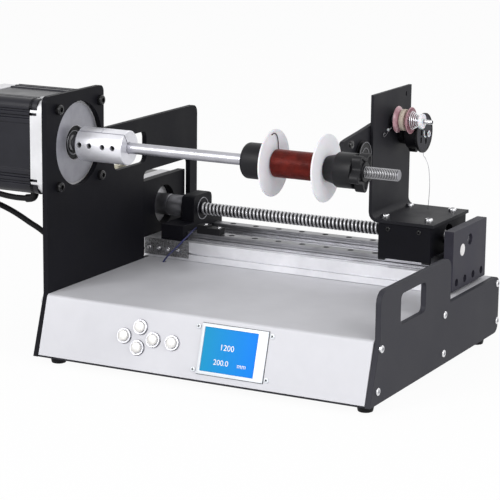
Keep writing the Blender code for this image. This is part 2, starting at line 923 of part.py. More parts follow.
def make_cone_and_knob():
    bore = rod_r + gap
    tip_round = 0.0015
    cone = turned("clamping_cone", black_plastic, [
        (cone_body_r, cone_l),
        (cone_body_r, cone_tip_l + cone_bevel_l),
        (cone_tip_r + 0.0017, cone_tip_l),
        (cone_tip_r, tip_round),
        (cone_tip_r - tip_round, 0),
        (bore, 0),
        (bore, cone_l),
    ], at(cone_start, 0, 0), 36)
    hang(cone, pivot("cone_axis", at(cone_start, 0, 0)))
    outline = []
    for i in range(60):
        a = 2 * math.pi * i / 60
        r = knob_mid_r + knob_lobe_h * math.cos(knob_lobes * (a + math.pi / 2))
        outline.append(Vector((r * math.cos(a), r * math.sin(a))))
    knob = to_mesh(flat("star_knob", black_plastic, [outline, circle(0, 0, bore, 24)],
                        knob_l, at(knob_start + knob_l / 2, 0, 0)))
    smooth(knob.data)
    hang(knob, pivot("knob_axis", at(knob_start, 0, 0)))


def make_module():
    low, top, front, back = module_bottom, module_top, module_front, module_back
    a, b = low + slot_low, low + slot_low + slot_w
    outline = [Vector(p) for p in (
        (front, low), (back, low),
        (back, a), (back - slot_depth, a), (back - slot_depth, b), (back, b),
        (back, top), (front, top),
        (front, b), (front + slot_depth, b), (front + slot_depth, a), (front, a),
    )]
    flat("module_extrusion", aluminium, [outline], module_end - module_start,
         at((module_start + module_end) / 2, 0, 0))

    length = module_end - rail_start
    for name, side in rail_sides.items():
        add(name + "_rail", box_mesh("rail", (0, -rail_w / 2, 0), (length, rail_w / 2, rail_h)),
            steel, at(rail_start, module_y + side * rail_spacing / 2, top + gap))

    plate = rectangle(front, low, back, traverse_plate_top)
    flat("traverse_motor_plate", black_metal,
         [plate, circle(module_y, screw_axis_z, traverse_plate_hole_r, 32)],
         traverse_plate_t, at((traverse_plate_start + traverse_plate_end) / 2, 0, 0))
    flat("traverse_motor", black_paint,
         [motor_square(traverse_motor_size, traverse_motor_corner)], traverse_motor_l,
         at(traverse_plate_start - gap - traverse_motor_l / 2, module_y, screw_axis_z))

    half = bearing_block_w / 2
    outline = rounded((
        (module_y - half, bearing_foot_top - 2 * gap, 0),
        (module_y + half, bearing_foot_top - 2 * gap, 0),
        (module_y + half, bearing_block_top, bearing_block_chamfer),
        (module_y - half, bearing_block_top, bearing_block_chamfer),
    ), 2)
    block = to_mesh(flat("bearing_block", black_metal,
                         [outline, circle(module_y, screw_axis_z, journal_r + gap, 24)],
                         bearing_block_t, at(bearing_block_start + bearing_block_t / 2, 0, 0)))
    foot = box("bearing_foot", None,
               (bearing_foot_start, module_y - bearing_foot_w / 2, top + gap),
               (bearing_block_end, module_y + bearing_foot_w / 2, bearing_foot_top))
    combine(block, foot, "UNION")

    end = rectangle(front, low + end_block_lift, back, end_block_top, 0.001)
    holes = [circle(module_y, screw_axis_z, end_journal_r + gap, 24)]
    holes += [circle(module_y + end_hole_pitch * k, end_hole_z, end_hole_r, 12)
              for k in (-1.5, -0.5, 0.5, 1.5)]
    flat("end_block", black_metal, [end] + holes, end_block_t,
         at(end_block_start + end_block_t / 2, 0, 0))
    front, back = sensor_y - sensor_w / 2, sensor_y + sensor_w / 2
    seat = rail_top + gap
    sensor = box("limit_sensor", black_plastic, (sensor_start, front, seat),
                 (sensor_start + sensor_l, back, sensor_top))
    base = box("sensor_base", None, (sensor_start, front, seat),
               (sensor_start + sensor_base_l, back, sensor_base_top))
    combine(sensor, base, "UNION")


def make_ball_screw():
    axis = pivot("traverse_axis", at(0, module_y, screw_axis_z))
    start = traverse_plate_start + gap
    stub = traverse_coupling_start - start
    step = traverse_shaft_reach
    coupling = turned("traverse_coupling", aluminium, [
        (traverse_coupling_r, stub + traverse_coupling_l),
        (traverse_coupling_r, stub),
        (traverse_shaft_r, stub),
        (traverse_shaft_r, 0),
        (0, 0),
        (0, step),
        (journal_r + gap, step),
        (journal_r + gap, stub + traverse_coupling_l),
    ], at(start, module_y, screw_axis_z))
    begin = start + step + gap
    thread_start = bearing_block_end + 3 * gap - begin
    thread_end = end_block_start - gap - begin
    end = end_block_start + end_block_t - 0.001 - begin
    screw = turned("ball_screw", steel, [
        (0, end),
        (end_journal_r, end),
        (end_journal_r, thread_end),
        (screw_r, thread_end),
        (screw_r, thread_start),
        (journal_r, thread_start),
        (journal_r, 0),
        (0, 0),
    ], at(begin, module_y, screw_axis_z), 24)
    for ob in (coupling, screw):
        hang(ob, axis)


def make_carriage():
    slide = pivot("carriage_axis", at(carriage_start, module_y, screw_axis_z))
    front, back = module_front - carriage_side, module_back + carriage_side
    inner = guide_block_top + gap
    outline = [Vector(p) for p in (
        (front, carriage_top), (front, carriage_skirt_z),
        (front + carriage_skirt_t, carriage_skirt_z), (front + carriage_skirt_t, inner),
        (back - carriage_skirt_t, inner), (back - carriage_skirt_t, carriage_skirt_z),
        (back, carriage_skirt_z), (back, carriage_top),
    )]
    outlines = [outline, circle(module_y, screw_axis_z, nut_r + gap, 24)]
    body = flat("carriage", black_metal, outlines, carriage_l,
                at(carriage_start + carriage_l / 2, 0, 0))
    nut = ring("ball_nut", steel, nut_r, screw_r + gap, carriage_start + nut_inset,
               carriage_l - 2 * nut_inset, module_y, screw_axis_z, 24)
    blocks = []
    length = carriage_l - guide_block_inset
    for name, side in rail_sides.items():
        y = module_y + side * rail_spacing / 2
        half, slot = guide_block_w / 2, rail_w / 2 + gap
        shape = [Vector(p) for p in (
            (y - half, guide_block_top), (y - half, guide_block_z), (y - slot, guide_block_z),
            (y - slot, rail_top + gap), (y + slot, rail_top + gap), (y + slot, guide_block_z),
            (y + half, guide_block_z), (y + half, guide_block_top),
        )]
        blocks.append(flat(name + "_guide_block", steel, [shape], length,
                           at(carriage_start + guide_block_inset + length / 2, 0, 0)))
    return [body, nut] + blocks, slide


def make_bracket():
    start, end = bracket_start, bracket_start + bracket_foot_l
    profile = rounded((
        (start, bracket_top, 0),
        (start, foot_bottom, bracket_bend_r + bracket_t),
        (end, foot_bottom, 0),
        (end, foot_top, 0),
        (upright_face, foot_top, bracket_bend_r),
        (upright_face, bracket_top, 0),
    ))
    middle = (bracket_front + bracket_back) / 2
    bracket = to_mesh(flat("wire_bracket", black_metal, [profile],
                           bracket_back - bracket_front, at(0, middle, 0),
                           (math.pi / 2, 0, 0)))
    half = Vector((bracket_t, bracket_slot_w / 2, bracket_slot_h / 2))
    slot = add("hole_slot", box_mesh("hole", -half, half), None,
               at(start + bracket_t / 2, bracket_back - bracket_slot_in,
                  bracket_top - bracket_slot_drop))
    cut(bracket, slot)

    nose = (
        (arm_nose, arm_nose_low, 0.001), (arm_brow, arm_brow_z, 0.003),
        (arm_step, arm_step_z, 0), (arm_top, arm_top_z, 0), (arm_rise, arm_rise_z, 0),
        (arm_back, arm_high_z, 0.003), (arm_back, arm_low_z, 0.003), (arm_heel, arm_low_z, 0),
        (arm_throat, arm_throat_z, 0.002), (arm_belly_back, arm_belly_z, 0.003),
        (arm_belly, arm_belly_z, 0.004), (arm_chin, arm_chin_z, 0.002),
    )
    arm = to_mesh(flat("guide_arm", black_metal, [rounded(nose, 3)], arm_t,
                       at(arm_start + arm_t / 2, 0, 0)))
    pulley_start = arm_start + arm_t + gap
    wheel = turned("guide_pulley", aluminium, [
        (pulley_r, pulley_l),
        (pulley_r, pulley_l - 0.0008),
        (pulley_groove_r, pulley_l / 2),
        (pulley_r, 0.0008),
        (pulley_r, 0),
        (pulley_pin_r + gap, 0),
        (pulley_pin_r + gap, pulley_l),
    ], at(pulley_start, pulley_y, pulley_z), 32)
    hang(wheel, pivot("pulley_axis", at(pulley_start, pulley_y, pulley_z)))
    pin_start = arm_start + arm_t / 2
    pin_end = pulley_start + pulley_l + gap - pin_start
    pin = turned("pulley_pin", None, [
        (0, pin_end + pulley_head_h),
        (pulley_head_r, pin_end + pulley_head_h),
        (pulley_head_r, pin_end),
        (pulley_pin_r, pin_end),
        (pulley_pin_r, 0),
        (0, 0),
    ], at(pin_start, pulley_y, pulley_z), 16)
    combine(arm, pin, "UNION")
    return [bracket, arm, wheel]


def make_tensioner():
    y, z = stud_y, stud_z
    seat = upright_face + gap
    bore = stud_r + gap
    stud_l = stud_end - seat
    pieces = [turned("tension_stud", steel, [
        (0, stud_l), (stud_r, stud_l), (stud_r, stud_spacer_l), (stud_spacer_r, stud_spacer_l),
        (stud_spacer_r, 0), (0, 0),
    ], at(seat, y, z), 20)]
    x = seat + stud_spacer_l + gap
    rim = disc_rim
    for name, mat, length, radius in (("tension_disc_back", pink_ceramic, disc_l, disc_r),
                                      ("tension_washer", cream_felt, washer_l, washer_r),
                                      ("tension_disc_front", pink_ceramic, disc_l, disc_r)):
        profile = [(radius - rim, length), (radius, length - rim), (radius, rim),
                   (radius - rim, 0), (bore, 0), (bore, length)]
        pieces.append(turned(name, mat, profile, at(x, y, z), 32))
        x += length + gap

    wire = 2 * spring_wire_r
    points = []
    total = spring_curls * curl_points
    rise = spring_l - 2 * wire
    for i in range(total + 1):
        t = i / total
        radius = spring_start_r + (spring_end_r - spring_start_r) * t
        points.append(wound_point(wire + rise * t, radius, 2 * math.pi * i / curl_points))
    end = Vector((wire, 0, 0))
    points = [points[0] - end] + points + [points[-1] + end]
    clear = least_self_gap(points, spring_wire_r, curl_points // 2 + 1)
    print("spring: least gap to itself %.3f mm" % (clear * 1000))
    pieces.append(tube("tension_spring", steel, points, spring_wire_r, 1, at(x, y, z)))
    x += spring_l + gap
    nut = turned("tension_nut", white_plastic, [
        (tension_nut_r - 0.0006, tension_nut_l),
        (tension_nut_r, tension_nut_l - 0.0006),
        (tension_nut_r, 0),
        (bore, 0),
        (bore, tension_nut_l),
    ], at(x, y, z), 24)
    hang(nut, pivot("nut_axis", at(x, y, z)))

    body = rod("dial_body", black_plastic, dial_body_r, seat, seat + dial_body_l, dial_y,
               dial_z, 28)
    dial_start = seat + dial_body_l + gap
    dial = turned("tension_dial", black_plastic, [
        (0, dial_l + 0.0006),
        (dial_hub_r, dial_l + 0.0006),
        (dial_hub_r, dial_l),
        (dial_r - 0.0008, dial_l),
        (dial_r, dial_l - 0.0008),
        (dial_r, 0),
        (0, 0),
    ], at(dial_start, dial_y, dial_z), 36)
    hang(dial, pivot("dial_axis", at(dial_start, dial_y, dial_z)))
    return pieces + [nut, body, dial]


def make_inside():
    floor = base_bottom + sheet_t + gap
    box("power_supply", aluminium, (supply_start, supply_front, floor),
        (supply_start + supply_l, supply_front + supply_w, floor + supply_h), 0.001)
    deck = floor + board_post_h
    board = box("control_board", green_board, (board_start, board_front, deck),
                (board_start + board_l, board_front + board_w, deck + board_t))
    inset = 2 * board_post_r
    for x in (board_start + inset, board_start + board_l - inset):
        for y in (board_front + inset, board_front + board_w - inset):
            post = cylinder_mesh("board_post", board_post_r, board_post_h + board_t / 2, 10)
            combine(board, add("board_post", post, None, at(x, y, floor)), "UNION")

    face = rear_panel_y + gap
    place = at(inlet_x, face, base_bottom + inlet_rise)
    half_w, half_h, edge = inlet_w / 2, inlet_h / 2, inlet_flange
    right = half_w + switch_w
    inlet = add("power_inlet",
                box_mesh("power_inlet", (-half_w - edge, -half_h - edge, 0),
                         (right + edge, half_h + edge, inlet_flange_t)),
                black_plastic, place, rear_turn)
    barrel = add("inlet_barrel",
                 box_mesh("inlet_barrel", (-half_w, -half_h, -inlet_depth),
                          (right, half_h, inlet_flange_t / 2)), None, place, rear_turn)
    combine(inlet, barrel, "UNION")
    wall = inlet_wall
    socket = add("inlet_socket",
                 box_mesh("inlet_socket", (wall - half_w, wall - half_h, wall - inlet_depth),
                          (half_w - wall, half_h - wall, 2 * inlet_flange_t)),
                 None, place, rear_turn)
    cut(inlet, socket)
    well_half = switch_h / 2
    well = add("switch_well",
               box_mesh("switch_well", (half_w, -well_half, -switch_well),
                        (right - wall, well_half, 2 * inlet_flange_t)),
               None, place, rear_turn)
    cut(inlet, well)

    across = half_w + (switch_w - wall) / 2
    reach = well_half - 2 * gap
    half_rocker = (switch_w - wall) / 2 - gap
    centre = at(inlet_x - across, face, base_bottom + inlet_rise)
    rocker = add("power_rocker",
                 box_mesh("power_rocker", (-half_rocker, -reach, -rocker_t),
                          (half_rocker, reach, 0)),
                 black_plastic, centre, (math.pi / 2 + rocker_swing, 0, math.pi))
    hang(rocker, pivot("rocker_axis", centre))


def motor_cable_route(boot_start):
    """From the boot under the motor out past its rear end, back and down to the gland."""
    z = -motor_size / 2 - boot_h / 2 - 0.0020
    end_x = -plate_t - gap - gland_l - gap
    end_z = base_top - gland_drop
    straight = end_x - cable_straight
    return [
        (boot_start - gap, boot_y, z), (boot_start - 0.006, boot_y, z - 0.0001),
        (-0.052, boot_y, -0.0500), (-0.062, boot_y, -0.0490), (-0.072, boot_y, -0.0478),
        (-0.0815, -0.0294, -0.0475), (-0.0905, -0.0270, -0.0487), (-0.0985, -0.0212, -0.0517),
        (-0.1040, -0.0125, -0.0558), (-0.1050, -0.0020, -0.0605), (-0.1015, 0.0080, -0.0655),
        (-0.0940, 0.0150, -0.0705), (-0.0820, 0.0188, -0.0768), (-0.0685, 0.0200, -0.0840),
        (-0.0560, 0.0212, -0.0905), (-0.0495, 0.0240, -0.0972), (-0.0465, 0.0285, -0.1055),
        (-0.0455, 0.0345, -0.1150), (-0.0450, 0.0410, -0.1245), (-0.0440, 0.0478, -0.1335),
        (-0.0415, 0.0545, -0.1420),
        (straight - 0.5 * cable_straight, gland_y - 0.0010, end_z + 0.0020),
        (straight - 0.25 * cable_straight, gland_y, end_z), (straight, gland_y, end_z),
        (end_x, gland_y, end_z),
    ]


def make_cords(boot_start):
    route = motor_cable_route(boot_start)
    tube("motor_cable", black_rubber, smooth_route(route, 0.011), motor_cable_r, 3, at(0, 0, 0))
    ring("cable_gland", black_plastic, gland_r, 0.0009, route[-1][0] + gap, gland_l, gland_y,
         route[-1][2], 20)
    tip = module_front - sensor_cable_lift
    sensor = [
        (sensor_start - gap, sensor_y, -0.0975), (sensor_start - 0.003, sensor_y, -0.0978),
        (0.0445, 0.1313, -0.1003), (0.0420, 0.1268, -0.1045), (0.0394, tip - 0.0005, -0.1088),
        (0.0360, tip - 0.0035, -0.1134), (0.0316, 0.1150, -0.1185), (0.0275, 0.1120, -0.1235),
        (wire_hole_x, wire_hole_y, base_top - 0.0002),
        (wire_hole_x, wire_hole_y, base_top - 0.0030),
    ]
    tube("sensor_cable", blue_cable, smooth_route(sensor, 0.0022), sensor_cable_r, 2,
         at(0, 0, 0))
    dial_x = upright_face + gap + dial_body_l + gap + dial_l / 2
    tail = [
        (dial_x, dial_y + 0.001, dial_z - dial_r - gap),
        (dial_x + 0.0002, dial_y + 0.001, dial_z - dial_r - 0.0030),
        (0.2585, 0.1895, -0.0190), (0.2612, 0.1905, -0.0260), (0.2624, 0.1910, -0.0350),
        (0.2628, 0.1915, -0.0450), (0.2622, 0.1922, -0.0550), (0.2613, 0.1930, foot_top + 0.0025),
        (0.2610, 0.1932, foot_top + gap),
    ]
    tube("wire_tail", steel, smooth_route(tail, 0.0028), tail_r, 2, at(0, 0, 0))


make_side_plates()
make_cover()
make_buttons()
make_display()
cable_boot_start = make_spindle_motor()
make_spindle()
make_cone_and_knob()
make_module()
make_ball_screw()
carriage_pieces, carriage_pivot = make_carriage()
carriage_pieces += make_bracket()
carriage_pieces += make_tensioner()
for piece in carriage_pieces:
    if piece.parent is None:
        hang(piece, carriage_pivot)
make_inside()
make_cords(cable_boot_start)

shown = [ob for ob in parts.objects if ob.type != "EMPTY"]
print("winding machine: %d pieces" % len(shown))
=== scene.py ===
import json
import math

import bpy
from mathutils import Matrix, Vector

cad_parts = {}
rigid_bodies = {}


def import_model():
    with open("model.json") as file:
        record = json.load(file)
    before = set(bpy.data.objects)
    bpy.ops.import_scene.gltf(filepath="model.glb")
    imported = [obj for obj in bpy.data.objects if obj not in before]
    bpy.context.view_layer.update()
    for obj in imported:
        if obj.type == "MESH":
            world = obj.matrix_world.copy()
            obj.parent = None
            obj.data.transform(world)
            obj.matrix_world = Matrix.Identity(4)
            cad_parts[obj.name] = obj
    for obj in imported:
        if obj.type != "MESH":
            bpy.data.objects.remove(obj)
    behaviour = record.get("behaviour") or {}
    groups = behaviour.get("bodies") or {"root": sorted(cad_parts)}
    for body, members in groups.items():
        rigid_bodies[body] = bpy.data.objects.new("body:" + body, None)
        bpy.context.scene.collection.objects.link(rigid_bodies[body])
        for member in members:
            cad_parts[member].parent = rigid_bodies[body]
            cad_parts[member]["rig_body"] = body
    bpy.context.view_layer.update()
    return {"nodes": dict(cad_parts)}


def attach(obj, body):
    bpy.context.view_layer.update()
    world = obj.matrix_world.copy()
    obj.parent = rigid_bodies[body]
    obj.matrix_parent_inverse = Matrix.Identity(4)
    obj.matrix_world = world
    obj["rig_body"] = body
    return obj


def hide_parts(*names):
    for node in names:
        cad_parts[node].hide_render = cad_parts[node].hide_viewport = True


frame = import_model()
scene = bpy.context.scene
scene.view_settings.view_transform = "Standard"
mm = 0.001
weldGap = 0.002 * mm  # points closer than this are one
flatAngle = 0.4  # faces that meet at less than this many degrees are one

# places below are in millimetres from where the spindle's axis leaves the left plate
machineOrigin = Vector((-0.11085, -0.07335, 0.1892))
spindleLine = (0, 0)  # y and z of an axis that runs along X
screwLine = (163, -84.5)
studLine = (163, 19.5)
rodBore = 5.3  # radius of the holes that the spindle's rod runs through
studBore = 2.3  # radius of the holes that the tension stud runs through
floorZ = -machineOrigin.z / mm


def place(x, y, z):
    return machineOrigin + Vector((x, y, z)) * mm


print("camera")
cameraLook = {
    "lens": 148.484,
    "place": (989.44, -1557.21, 312.44),
    "right": (0.88498608, 0.4654985, 0.01052547),
    "up": (-0.11039305, 0.18780648, 0.97598263),
    "back": (0.4523417, -0.86489299, 0.21759391),
}
bpy.ops.object.camera_add()
camera = bpy.context.object
camera.data.lens = cameraLook["lens"]
camera.data.clip_start = 0.1
camera.data.clip_end = 20
axes = Matrix((cameraLook["right"], cameraLook["up"], cameraLook["back"])).transposed()
camera.matrix_world = Matrix.Translation(place(*cameraLook["place"])) @ axes.to_4x4()
scene.camera = camera


# small helpers

def deselectAll():
    if bpy.context.object and bpy.context.object.mode != "OBJECT":
        bpy.ops.object.mode_set(mode="OBJECT")
    bpy.ops.object.select_all(action="DESELECT")


def makeActive(piece):
    deselectAll()
    piece.select_set(True)
    bpy.context.view_layer.objects.active = piece


def openMesh(piece):
    makeActive(piece)
    bpy.ops.object.mode_set(mode="EDIT")
    bpy.ops.mesh.select_mode(type="VERT")
    bpy.ops.mesh.select_all(action="SELECT")


def closeMesh():
    bpy.ops.object.mode_set(mode="OBJECT")


def selectFaces(piece, test):
    # leaves edit mode open with just the faces that pass the test
    bpy.ops.mesh.select_mode(type="FACE")
    bpy.ops.mesh.select_all(action="DESELECT")
    closeMesh()
    for face in piece.data.polygons:
        face.select = test(face)
    bpy.ops.object.mode_set(mode="EDIT")


def settle(piece):
    makeActive(piece)
    bpy.ops.object.transform_apply(location=True, rotation=True, scale=True)


def applyModifiers(piece):
    makeActive(piece)
    for name in [m.name for m in piece.modifiers]:
        bpy.ops.object.modifier_apply(modifier=name)


def smoothByAngle(piece, angle=35):
    makeActive(piece)
    bpy.ops.object.shade_smooth_by_angle(angle=math.radians(angle))


def bevelEdges(piece, width, segments=2, angle=30):
    soft = piece.modifiers.new("edge", "BEVEL")
    soft.width = width * mm
    soft.segments = segments
    soft.limit_method = "ANGLE"
    soft.angle_limit = math.radians(angle)
    applyModifiers(piece)


def evenNormals(piece):
    weigh = piece.modifiers.new("normals", "WEIGHTED_NORMAL")
    weigh.keep_sharp = True
    applyModifiers(piece)


def tidyMesh(piece):
    openMesh(piece)
    bpy.ops.mesh.remove_doubles(threshold=weldGap)
    bpy.ops.mesh.normals_make_consistent(inside=False)
    closeMesh()


def cutWith(piece, *tools):
    for tool in tools:
        cutter = piece.modifiers.new("cut", "BOOLEAN")
        cutter.object = tool
        cutter.solver = "EXACT"
        applyModifiers(piece)
        bpy.data.objects.remove(tool)
    return piece


def joinPieces(pieces, name):
    makeActive(pieces[0])
    for piece in pieces[1:]:
        piece.select_set(True)
    if len(pieces) > 1:
        bpy.ops.object.join()
    pieces[0].name = name
    return pieces[0]


def copyTo(piece, name, matrix):
    twin = piece.copy()
    twin.data = piece.data.copy()
    twin.name = name
    twin.data.transform(matrix)
    scene.collection.objects.link(twin)
    return twin


def fit(piece, body, finish, *nodes):
    piece.data.materials.clear()
    piece.data.materials.append(finishes[finish])
    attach(piece, body)
    if nodes:
        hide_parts(*nodes)
    return piece


def turned(name, outline, line=spindleLine, steps=64, closed=True, axis="X"):
    # rings of (place along the axis, radius), each extruded from the one before
    turn = {"X": (0, math.pi / 2, 0), "Y": (math.pi / 2, 0, 0), "Z": (0, 0, 0)}[axis]
    pick = {"X": 0, "Y": 1, "Z": 2}[axis]

    def ringPlace(along):
        spot = [line[0], line[1]]
        spot.insert(pick, along)
        return place(*spot)

    along, radius = outline[0]
    bpy.ops.mesh.primitive_circle_add(
        vertices=steps, radius=radius * mm, rotation=turn, location=ringPlace(along),
        fill_type="NOTHING" if closed else "NGON")
    piece = bpy.context.object
    piece.name = name
    settle(piece)
    openMesh(piece)
    for there in list(outline[1:]) + ([outline[0]] if closed else []):
        step = [0, 0, 0]
        step[pick] = (there[0] - along) * mm
        size = [there[1] / radius] * 3
        size[pick] = 1
        bpy.ops.mesh.extrude_region_move(TRANSFORM_OT_translate={"value": step})
        bpy.ops.transform.resize(value=size, center_override=ringPlace(there[0]))
        along, radius = there
    closeMesh()
    tidyMesh(piece)
    smoothByAngle(piece, 30)
    return piece


def drawn(name, points, push):
    # a flat outline of places, extruded by a step in millimetres
    mesh = bpy.data.meshes.new(name)
    mesh.from_pydata([place(*p) for p in points], [], [range(len(points))])
    piece = bpy.data.objects.new(name, mesh)
    scene.collection.objects.link(piece)
    openMesh(piece)
    bpy.ops.mesh.extrude_region_move(TRANSFORM_OT_translate={"value": Vector(push) * mm})
    bpy.ops.mesh.select_all(action="SELECT")
    bpy.ops.mesh.normals_make_consistent(inside=False)
    closeMesh()
    return piece


def cube(name, low, high, soft=0.3, segments=2):
    bpy.ops.mesh.primitive_cube_add(size=1, location=(low + high) / 2, scale=high - low)
    piece = bpy.context.object
    piece.name = name
    settle(piece)
    if soft:
        bevelEdges(piece, soft, segments)
        smoothByAngle(piece)
        evenNormals(piece)
    return piece


def block(name, low, high, soft=0.3, segments=2):
    return cube(name, place(*low), place(*high), soft, segments)


def peg(name, radius, start, length, line, steps=24, axis="X"):
    return turned(name, [(start, radius), (start + length, radius)], line, steps, False, axis)


def smoothPath(points, parts):
    # more points on one smooth curve through a route's own points
    pts = [Vector(p) for p in points]
    pts = [pts[0] * 2 - pts[1]] + pts + [pts[-1] * 2 - pts[-2]]
    fine = []
    for a, b, c, d in zip(pts, pts[1:], pts[2:], pts[3:]):
        for k in range(parts):
            t = k / parts
            fine.append(0.5 * (2 * b + (c - a) * t + (2 * a - 5 * b + 4 * c - d) * t**2
                               + (3 * b - a - 3 * c + d) * t**3))
    return fine + [pts[-2]]


def evenPath(points, spacing):
    # points at even steps along that curve, as the cords' solids have them
    fine = smoothPath(points, 24)
    lengths = [(b - a).length for a, b in zip(fine, fine[1:])]
    count = max(2, round(sum(lengths) / spacing))
    step = sum(lengths) / count
    even = [fine[0]]
    walked = 0.0
    for a, b, length in zip(fine, fine[1:], lengths):
        while walked + length >= step * len(even) and len(even) < count:
            even.append(a.lerp(b, (step * len(even) - walked) / length))
        walked += length
    return even + [fine[-1]]


def wire(name, points, radius, sides=3):
    curve = bpy.data.curves.new(name, "CURVE")
    curve.dimensions = "3D"
    curve.bevel_depth = radius * mm
    curve.bevel_resolution = sides
    curve.use_fill_caps = True
    line = curve.splines.new("POLY")
    line.points.add(len(points) - 1)
    for spot, p in zip(line.points, points):
        spot.co = (*place(*p), 1)
    line.use_smooth = True
    piece = bpy.data.objects.new(name, curve)
    scene.collection.objects.link(piece)
    return piece


def meshOf(piece):
    makeActive(piece)
    bpy.ops.object.convert(target="MESH")
    return piece


# each finish has two close colours in patches, uneven gloss and a fine grain (depth in mm);
# what a finish doesn't name is as in finishBase

